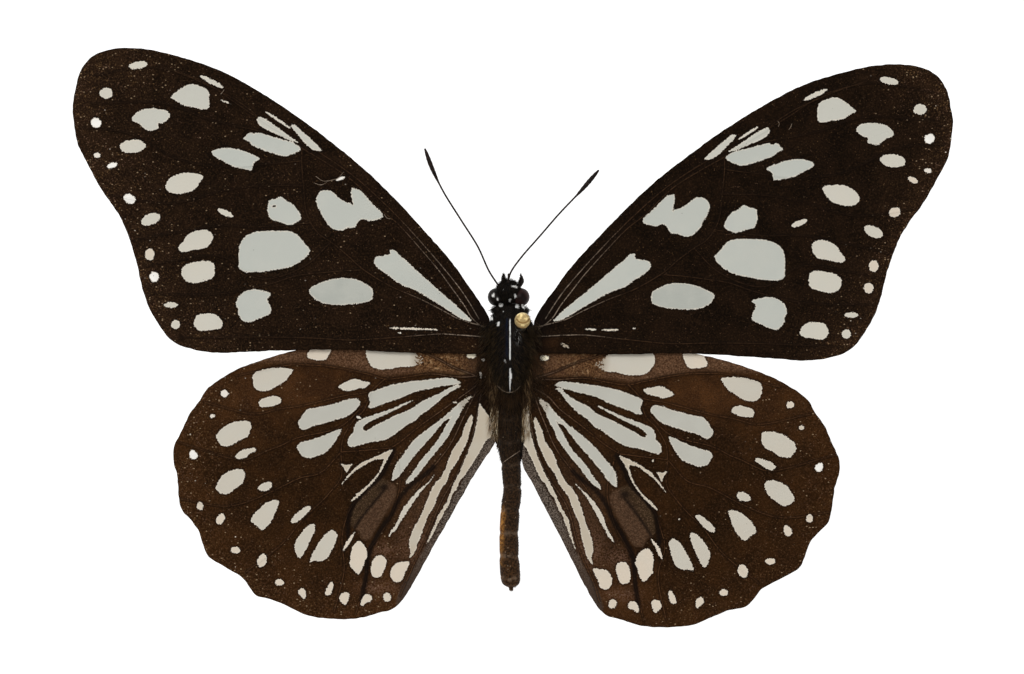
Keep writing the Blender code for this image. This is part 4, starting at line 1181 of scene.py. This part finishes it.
def tube(points, radii, step, sides=14):
    """A round skin along a smooth line, its radius running through the given ones."""
    line = smooth_line(points, step)
    given = shares(points) if len(radii) == len(points) else np.linspace(0, 1, len(radii))
    width = np.interp(shares(line), given, radii)
    ahead = directions(line, closed=False)
    side = [np.cross(ahead[0], (0.3, 0.1, 0.95))]
    for heading in ahead:
        side.append(side[-1] - heading * (side[-1] @ heading))
    side = np.array(side[1:])
    side /= np.linalg.norm(side, axis=1)[:, None]
    start = line[:1] - ahead[:1] * width[0] * 0.4
    end = line[-1:] + ahead[-1:] * width[-1] * 0.6
    centres = np.vstack([start, line, end])
    pad = [[0, 0, 0]]
    across = np.vstack([pad, side * width[:, None], pad])
    up = np.vstack([pad, np.cross(ahead, side) * width[:, None], pad])
    return loft(centres, across, up, sides)


def joined(parts):
    """Several skins, each given as corners and faces, as one."""
    corners, faces, count = [], [], 0
    for some, shapes in parts:
        corners.append(some)
        faces += [tuple(index + count for index in face) for face in shapes]
        count += len(some)
    return np.vstack(corners), faces


def whiteness(places):
    """1 inside a white mark of the body, as seen from above, and 0 away from them."""
    best = np.zeros(len(places))
    for x, y, width, length, turn in BODY_SPOTS:
        c, s = cos(radians(turn)), sin(radians(turn))
        u, v = places[:, 0] - x, places[:, 1] - y
        reach = np.hypot((c * u + s * v) / (width / 2), (c * v - s * u) / (length / 2))
        if length > 2:
            reach = np.maximum(np.abs(u) / (width / 2), np.abs(v) / (length / 2))
        best = np.maximum(best, clamp((1.1 - reach) / 0.25))
    return best * (places[:, 2] > THORAX_Z)


def blueness(places):
    """1 in the blue sheen on the left of the thorax's white line."""
    x, y, z = places.T
    across = clamp(1.0 - np.abs(x + 0.28) / 0.13)
    return across * clamp((y + 0.9) / 0.6) * (y < 3.2) * (z > THORAX_Z)


def skin(name, corners, faces, material, slot, nodes=(), **values):
    """A piece from millimetres about the body centre."""
    places = (np.asarray(corners) + (BODY_X, BODY_Y, 0)) * MM
    piece = mesh_piece(name, places, faces, values)
    shape = bmesh.new()
    shape.from_mesh(piece.data)
    bmesh.ops.recalc_face_normals(shape, faces=shape.faces)
    shape.to_mesh(piece.data)
    shape.free()
    return finish_piece(piece, material, slot, *nodes)


def scattered(corners, faces, count, draw):
    """Places and outward directions spread evenly over a closed skin."""
    triangles = np.array([(f[0], f[k], f[k + 1]) for f in faces for k in range(1, len(f) - 1)])
    a, b, c = (corners[triangles[:, k]] for k in range(3))
    normal = np.cross(b - a, c - a)
    area = np.linalg.norm(normal, axis=1)
    chosen = draw.choice(len(area), count, p=area / area.sum())
    u, v = draw.random((2, count, 1))
    flip = u + v > 1
    u, v = np.where(flip, 1 - u, u), np.where(flip, 1 - v, v)
    place = a[chosen] + u * (b - a)[chosen] + v * (c - a)[chosen]
    normal = normal[chosen] / area[chosen][:, None]
    away = place - corners.mean(axis=0)
    return place, normal * np.sign((normal * away).sum(axis=1))[:, None]


def strands(roots, heading, lengths, widths, draw, droop):
    """Closed three-sided tapering hairs in one mesh, each a little bent."""
    count = len(roots)
    heading = heading / np.linalg.norm(heading, axis=1)[:, None]
    side = np.cross(heading, draw.normal(size=(count, 3)))
    side /= np.linalg.norm(side, axis=1)[:, None]
    other = np.cross(heading, side)
    lengths, widths = lengths[:, None], widths[:, None]
    bend = side * draw.normal(0, 0.12, (count, 1)) * lengths + np.array([0, 0, -droop]) * lengths
    rings = []
    for share, size in ((0.0, 1.0), (0.55, 0.7)):
        middle = roots + heading * lengths * share + bend * share**2
        for angle in (0, tau / 3, 2 * tau / 3):
            rings.append(middle + (side * cos(angle) + other * sin(angle)) * widths * size)
    rings.append(roots + heading * lengths + bend)
    corners = np.stack(rings, axis=1).reshape(-1, 3)
    pattern = [(0, 2, 1), (0, 1, 4, 3), (1, 2, 5, 4), (2, 0, 3, 5), (3, 4, 6), (4, 5, 6), (5, 3, 6)]
    starts = range(0, HAIR_CORNERS * count, HAIR_CORNERS)
    return corners, [tuple(start + index for index in face) for start in starts for face in pattern]


def hair(
    name, roots, heading, lengths, width, material, draw, slot="body_scales", white=None, droop=0.15
):
    """A piece of many hairs, each with its own width, tone and share of white and blue."""
    count = len(roots)
    widths = width * draw.uniform(0.7, 1.25, count)
    corners, faces = strands(roots, heading, lengths, widths, draw, droop)
    tone = clamp(draw.normal(0.4, 0.3, count))
    white = np.zeros(count) if white is None else white
    looks = dict(tone=tone, white=white, blue=blueness(roots))
    looks = {label: np.repeat(numbers, HAIR_CORNERS) for label, numbers in looks.items()}
    return skin(name, corners, faces, material, slot, **looks)


def thorax_skin():
    y, width = smooth_line(THORAX_PROFILE, 0.16).T
    width = np.maximum(width, 0.0)
    width[[0, -1]] = 0
    centres = np.column_stack([np.zeros(len(y)), y, np.full(len(y), THORAX_Z)])
    across = np.outer(width, (1, 0, 0))
    return loft(centres, across, np.outer(width, (0, 0, THORAX_HEIGHT_RATIO)), sides=72)


def abdomen_skin():
    """The abdomen's skin, and where on it the ridges between the segments are."""
    along, width = smooth_line(ABDOMEN_PROFILE, 0.12).T
    groove = np.cos(pi * along / SEGMENT_LENGTH) ** 16 * clamp((along - 1.2) / 0.5)
    width = np.maximum(width - SEGMENT_GROOVE * groove * (along < 18.2), 0.0)
    width[[0, -1]] = 0
    sway = np.interp(along, *zip(*ABDOMEN_SWAY))
    drop = ABDOMEN_DROP * (along / ABDOMEN_LENGTH) ** 2
    centres = np.column_stack([sway, ABDOMEN_START_Y - along, THORAX_Z - drop])
    corners, faces = loft(centres, np.outer(width, (1, 0, 0)), np.outer(width, (0, 0, 1)), sides=64)
    ridge = np.interp(-corners[:, 1] + ABDOMEN_START_Y, along, groove)
    return corners, faces, ridge


def combed(normal, backward, lift, draw, spread=0.25):
    """Hair directions: backward along the skin, lifted off it, and scattered."""
    flow = np.zeros_like(normal) + backward
    flow = flow - normal * (flow * normal).sum(axis=1)[:, None]
    return flow + normal * lift + draw.normal(0, spread, normal.shape)


def make_body():
    draw = np.random.default_rng(BODY_SEED)
    dark = coat("body_coat", (10, 8, 7), (26, 20, 15), per_mm=3.0)
    black_hair = hair_coat("black_hair", (8, 6, 6), (42, 35, 27))
    brown_hair = hair_coat("brown_hair", (22, 14, 8), (74, 54, 34))
    tan_hair = hair_coat("tan_hair", (60, 44, 28), (150, 122, 88))
    cream_hair = hair_coat("cream_hair", (164, 136, 100), (240, 226, 196))
    olive_hair = hair_coat("olive_hair", (13, 10, 7), (76, 60, 40))

    thorax, thorax_faces = thorax_skin()
    lobes = [ellipsoid(centre, radii, turn) for centre, radii, turn in LOBES]
    corners, faces = joined([(thorax, thorax_faces)] + lobes)
    skin(
        "thorax_skin", corners, faces, dark, "body_scales", ["thorax"], white=whiteness(corners),
        blue=blueness(corners),
    )
    head, head_faces = ellipsoid(HEAD_CENTRE, HEAD_RADII)
    skin("head_skin", head, head_faces, dark, "body_scales", ["head"], white=whiteness(head))

    for part, (some, shapes), count, length in (
        ("thorax", (corners, faces), 9000, 0.42),
        ("head", (head, head_faces), 2600, 0.34),
    ):
        roots, normal = scattered(some, shapes, count, draw)
        heading = combed(normal, (0, -1, 0), 0.55, draw)
        lengths = length * draw.uniform(0.5, 1.3, count)
        white = whiteness(roots)
        lengths = np.where(white > 0.3, 0.22, lengths)
        unit = heading / np.linalg.norm(heading, axis=1)[:, None]
        clear = (whiteness(roots + unit * lengths[:, None]) < 0.3) | (white > 0.3)
        far_side = np.hypot(roots[:, 0] - 0.15, roots[:, 1] - 2.3) > 0.3
        kept = clear & (far_side | (roots[:, 2] < THORAX_Z))
        smear = 0.8 * hill(*roots.T[:2], (0.75, 1.55), (0.25, 0.6)) * (draw.random(count) < 0.5)
        white = np.where(roots[:, 2] > THORAX_Z, np.maximum(white > 0.3, smear), 0)
        hair(
            part + "_hair", roots[kept], heading[kept], lengths[kept], 0.02, black_hair, draw,
            white=white[kept],
        )
    make_membrane(dark)
    make_abdomen(brown_hair, draw)
    make_root_hair(brown_hair, tan_hair, cream_hair, olive_hair, draw)
    make_shoulder_hair(corners, faces, olive_hair, draw)
    make_eyes()


def make_membrane(material):
    """The dark skin that joins the wings' roots to the body, with a flap beside the abdomen."""
    y, width = smooth_line(MEMBRANE, 0.2).T
    width = np.maximum(width, 0)
    width[[0, -1]] = 0
    centres = np.column_stack([np.zeros(len(y)), y, np.full(len(y), MEMBRANE_Z)])
    height = np.minimum(width, MEMBRANE_HALF_HEIGHT)
    root = loft(centres, np.outer(width, (1, 0, 0)), np.outer(height, (0, 0, 1)), sides=40)
    skin("wing_root_skin", *joined([root, ellipsoid(*MEMBRANE_FLAP)]), material, "body_scales")


def make_abdomen(brown_hair, draw):
    corners, faces, ridge = abdomen_skin()
    x, y, _ = corners.T
    centre = np.interp(ABDOMEN_START_Y - y, *zip(*ABDOMEN_SWAY))
    ends = clamp((y - TAN_FLANK[0]) / 0.9) * clamp((TAN_FLANK[1] - y) / 1.0)
    flank = ends * clamp((-(x - centre) - 0.25) / 0.5)
    flank *= np.interp(y, (-22, -19.5, -18.5), (0.45, 0.75, 1.1))
    flank = np.maximum(flank, 0.25 * clamp((-23.2 - y) / 0.4))
    rear = clamp((-9.0 - y) / 13.0)
    s = Shader("abdomen_coat", roughness=0.6, specular=0.06)
    mottle = s.blots(5.5, 6.0, 0.36, 0.68)
    front = s.mix(mottle, (17, 12, 7), (44, 31, 20))
    ground = s.mix(s.attribute("rear"), front, s.mix(mottle, (30, 19, 9), (74, 50, 29)))
    patchy = s.swing(2.4, 5.0, 0.9)
    tan = s.mix(s.blots(3.5, 5.0, 0.36, 0.66), (86, 52, 20), (160, 110, 50))
    ground = s.mix(s.step(s.plus(s.attribute("flank"), patchy), 0.1, 1.1), ground, tan)
    ridged = s.times(s.attribute("ridge"), s.blots(1.8, 3.0, 0.4, 0.7, 0.0, 0.6))
    ridged = s.times(ridged, s.plus(0.35, s.attribute("rear")))
    ground = s.mix(ridged, ground, (112, 92, 74))
    ground = s.mix(s.times(specks(s, 4.0, 0.15, size=0.3), 0.6), ground, (150, 128, 104))
    s.colour(ground)
    s.relief(s.noise(7.0, 4.0), 0.045)
    skin(
        "abdomen_skin", corners, faces, s.material, "body_scales", ["abdomen"], flank=flank,
        ridge=ridge, rear=rear,
    )

    count = 5200
    roots, normal = scattered(corners, faces, count, draw)
    along = ABDOMEN_START_Y - roots[:, 1]
    lengths = np.where(along < 6.5, 1.1 - 0.12 * along, 0.22) * draw.uniform(0.5, 1.2, count)
    heading = combed(normal, (0, -1, 0), 0.3, draw, 0.16)
    kept = draw.random(count) < np.where(along < 7, 1.0, 0.45)
    kept &= ~((roots[:, 0] < -0.3) & (along > 11.5))
    hair("abdomen_hair", roots[kept], heading[kept], lengths[kept], 0.017, brown_hair, draw)


def beside_body(count, across, back, outward, draw):
    """Hair roots on both hindwings beside the body, and the ways that the hairs point."""
    roots, headings = [], []
    for side in (-1, 1):
        x = across[0] + (across[1] - across[0]) * draw.random(count) ** 1.5
        y = draw.uniform(*back, count) - 0.6 * (across[1] - x)
        z = HINDWING_ROOT_Z + HINDWING_RISE * x + draw.uniform(0, 0.2, count)
        roots.append(np.column_stack([side * x, y, z]))
        spread = draw.normal(0, 0.16, (2, count))
        lift = draw.uniform(0, 0.25, count)
        headings.append(np.column_stack([side * (outward + spread[0]), spread[1] - 1, lift]))
    return np.vstack(roots), np.vstack(headings)


def make_shoulder_hair(corners, faces, material, draw):
    """Longer brown hair from the thorax's sides and rear over the wings' roots."""
    roots, normal = scattered(corners, faces, 10500, draw)
    x, y, z = roots.T
    upper = z > UPPER_SIDE_Z
    beside = np.abs(x) > np.interp(y, [-3, -2, 3, 4.4], [0.3, 1.15, 1.2, 0.9])
    middle = np.interp(y, [-3.2, -2, 0, 2.5, 3.2], [0.95, 0.6, 0.26, 0.08, 0]) * upper
    likely = np.where(beside & upper & (y < 2.6), 0.75, middle)
    kept = (whiteness(roots) < 0.1) & (np.abs(x) > 0.14) & (draw.random(len(x)) < likely)
    heading = combed(normal, (0, -1, 0), 0.3, draw, 0.22)
    heading[:, 0] += np.sign(x) * np.interp(y, [-4, -2, 3], [0.1, 0.6, 0.9])
    lengths = draw.uniform(0.35, 1.0, len(x))
    roots, heading, lengths = roots[kept], heading[kept], lengths[kept]
    hair("shoulder_hair", roots, heading, lengths, 0.018, material, draw, droop=0.1)


def make_root_hair(brown_hair, tan_hair, cream_hair, olive_hair, draw):
    """Hair over the wings' roots, paler hair beside the abdomen, and the stray fibres."""
    for name, count, across, back, outward, longest, material in (
        ("root_hair", 560, (1.7, 3.3), (-4.4, 0.8), 0.75, 0.85, brown_hair),
        ("dark_hair", 420, (1.2, 2.3), (-5.6, -2.4), 0.22, 0.9, brown_hair),
        ("inner_hair", 330, (1.2, 2.1), (-8.2, -0.6), 0.06, 1.3, tan_hair),
        ("pale_hair", 80, (1.2, 1.95), (-8.4, -5.4), 0.1, 0.9, cream_hair),
        ("forewing_hair", 240, (1.9, 3.0), (-0.2, 3.0), 0.8, 0.8, olive_hair),
        ("waist_hair", 420, (0.05, 1.4), (-4.6, -3.1), 0.1, 1.5, brown_hair),
    ):
        roots, headings = beside_body(count, across, back, outward, draw)
        if name == "forewing_hair":
            roots[:, 2] += FOREWING_LIFT
        if name == "waist_hair":
            arch = np.sqrt(clamp(1 - (roots[:, 0] / WAIST_HALF_WIDTH) ** 2))
            roots[:, 2] = WAIST_Z + WAIST_HEIGHT * arch - WAIST_DEPTH
        lengths = longest * draw.uniform(0.4, 1.0, len(roots))
        hair(name, roots, headings, lengths, 0.018, material, draw, droop=0.08)
    pale = coat("stray_fibre", (104, 88, 72), (150, 134, 118))
    for name, line in (("rear_edge", REAR_EDGE), ("fibre", BODY_FIBRE)):
        skin(name, *tube(line, FIBRE_RADII, 0.1, sides=8), pale, "body_scales")
    curls = [tube(line, FIBRE_RADII, 0.08, sides=8) for line in WING_FIBRES]
    skin("wing_fibres", *joined(curls), pale, "forewing_scales")


def make_eyes():
    for name, centre in EYES.items():
        tones = ((9, 7, 6), (20, 14, 11)) if name == "left_eye" else ((22, 14, 12), (50, 31, 28))
        s = Shader(name, roughness=0.42, specular=0.07)
        facets, _ = s.cells(9.0)
        ground = s.mix(s.blots(0.8, 3.0, 0.35, 0.65), *tones)
        s.colour(s.mix(s.attribute("white"), ground, (228, 226, 222)))
        s.relief(facets, 0.012)
        corners, faces = ellipsoid(centre, EYE_RADII)
        skin(name + "_globe", corners, faces, s.material, "eye", [name], white=whiteness(corners))


def bristles(name, corners, faces, count, flow, lift, spread, lengths, width, material, draw):
    """Short stiff hairs over a limb."""
    roots, normal = scattered(corners, faces, count, draw)
    heading = combed(normal, flow, lift, draw, spread)
    hair(name, roots, heading, draw.uniform(*lengths, count), width, material, draw, "limb")


def make_limbs():
    draw = np.random.default_rng(LIMB_SEED)
    horn = coat("limb_coat", (18, 12, 9), (42, 29, 21), per_mm=4.0, roughness=0.5, depth=0.012)
    bristle = hair_coat("bristles", (16, 12, 10), (54, 42, 34))
    for name, points in ANTENNAE.items():
        share = np.linspace(0, 1, 60)
        club = clamp((share - 1 + CLUB_SHARE) / CLUB_SHARE)
        radii = ANTENNA_RADIUS + (CLUB_RADIUS - ANTENNA_RADIUS) * np.sin(pi * club**1.2) ** 0.8
        rings = 1 + 0.06 * np.cos(share * 60 * pi)
        corners, faces = tube(points, radii * rings, 0.12)
        skin(name + "_horn", corners, faces, horn, "limb", [name])
    for name, points in PALPS.items():
        corners, faces = tube(points, PALP_RADII, 0.08, sides=16)
        skin(name + "_skin", corners, faces, horn, "limb", [name])
        bristles(
            name + "_hair", corners, faces, count=260, flow=(0, 1.0, 0.5), lift=0.1, spread=0.07,
            lengths=(0.15, 0.38), width=0.016, material=bristle, draw=draw,
        )
    for kind, (points, radii) in LEGS.items():
        for side, word in ((-1, "left_"), (1, "right_")):
            line = [(side * x, y, z) for x, y, z in points]
            corners, faces = tube(line, radii, 0.1)
            skin(word + kind + "_skin", corners, faces, horn, "limb", [word + kind])
            bristles(
                word + kind + "_hair", corners, faces, count=110, flow=(0, -0.8, -0.2), lift=0.7,
                spread=0.2, lengths=(0.12, 0.3), width=0.014, material=bristle, draw=draw,
            )
    turns = np.linspace(0.35, PROBOSCIS_TURNS, PROBOSCIS_CORNERS)
    x, y, z = PROBOSCIS_CENTRE
    reach = PROBOSCIS_PITCH * turns
    ahead, up = reach * np.cos(tau * turns), reach * np.sin(tau * turns)
    spiral = np.column_stack([np.full(len(turns), x), y + ahead, z + up])
    corners, faces = tube(spiral, [PROBOSCIS_RADIUS] * len(turns), 5.0, sides=12)
    skin("proboscis_skin", corners, faces, horn, "limb", ["proboscis"])


def make_pin():
    steel = metal("pin_steel", (188, 176, 150), (135, 127, 108), 0.3, 1.2, 0.004)
    gilt = metal("gilt_head", (255, 232, 170), (136, 92, 34), 0.38, 2.8, 0.12)
    axis = PIN_HEAD_CENTRE.normalized()
    side = axis.cross(Vector((1, 0, 0))).normalized()
    along = np.concatenate([[0.0, 0.02], np.linspace(0.3, PIN_HEAD_CENTRE.length - 0.6, 60)])
    taper = np.interp(along, (0, PIN_POINT_LENGTH / 2, PIN_POINT_LENGTH), (0.1, 0.6, 1.0))
    centres = np.outer(np.append(along, along[-1]), axis) - (BODY_X, BODY_Y, 0)
    width = np.append(PIN_RADIUS * taper, 0)
    corners, faces = loft(centres, np.outer(width, side), np.outer(width, axis.cross(side)))
    skin("pin_shaft_metal", corners, faces, steel, "pin_steel", ["pin_shaft"])
    centre = np.array(PIN_HEAD_CENTRE) - (BODY_X, BODY_Y, 0)
    corners, faces = ellipsoid(centre, [PIN_HEAD_RADIUS] * 3, rows=36, sides=56)
    x, y = (corners - centre)[:, :2].T / PIN_HEAD_RADIUS
    # painted light on the gilt head: painted shade on its lower rim and a painted reflection of
    # dark surroundings in a crescent, both given to the metal as darkening
    rim = np.clip((-0.66 - y - 0.2 * x) / 0.2, 0, 0.7)
    off_arc = np.abs(np.hypot(x - 0.05, y - 0.55) - 0.86)
    painted_reflection_crescent = 0.9 * clamp(1.5 - off_arc / 0.13) * (y < 0.3)
    tarnish = np.maximum(rim, painted_reflection_crescent)
    skin("pin_head_metal", corners, faces, gilt, "gilt_head", ["pin_head"], tarnish=tarnish)


# Stage


def lamp(name, place, size, watts):
    """An area lamp that faces the specimen."""
    data = bpy.data.lights.new(name, "AREA")
    data.size = size
    data.energy = watts
    made = bpy.data.objects.new(name, data)
    made.location = place
    made.rotation_euler = (Vector(SUBJECT) - Vector(place)).to_track_quat("-Z", "Y").to_euler()
    bpy.context.scene.collection.objects.link(made)


def make_stage():
    scene = bpy.context.scene
    scene.view_settings.view_transform = "Standard"
    world = bpy.data.worlds.new("studio")
    world.use_nodes = True
    sky = world.node_tree.nodes["Background"]
    sky.inputs["Color"].default_value = SKY_COLOUR
    sky.inputs["Strength"].default_value = SKY_STRENGTH
    scene.world = world
    w = FLOOR_HALF_WIDTH
    corners = [(-w, -w, 0), (w, -w, 0), (w, w, 0), (-w, w, 0)]
    floor = mesh_piece("floor", corners, [(0, 1, 2, 3)], smooth=False)
    s = Shader("floor", roughness=0.9, specular=0.1)
    s.surface.inputs["Base Color"].default_value = FLOOR_COLOUR
    s.surface.inputs["Emission Color"].default_value = (1, 1, 1, 1)
    s.surface.inputs["Emission Strength"].default_value = FLOOR_GLOW
    floor.data.materials.append(s.material)
    lamp("softbox", (-0.35, 0.35, 0.7), size=0.4, watts=4.2)
    lamp("fill", (0.5, -0.3, 0.5), size=0.5, watts=1.1)


def make_camera():
    """Straight above the wings, framed as the photograph is."""
    data = bpy.data.cameras.new("camera")
    data.sensor_width = SENSOR_WIDTH
    data.lens = FOCAL_LENGTH
    data.clip_start = 0.01
    made = bpy.data.objects.new("camera", data)
    distance = PICTURE_WIDTH * FOCAL_LENGTH / SENSOR_WIDTH
    made.location = metres(*PICTURE_CENTRE, WING_PLANE + distance)
    bpy.context.scene.collection.objects.link(made)
    bpy.context.scene.camera = made


make_camera()
make_stage()
make_wings()
make_body()
make_limbs()
make_pin()
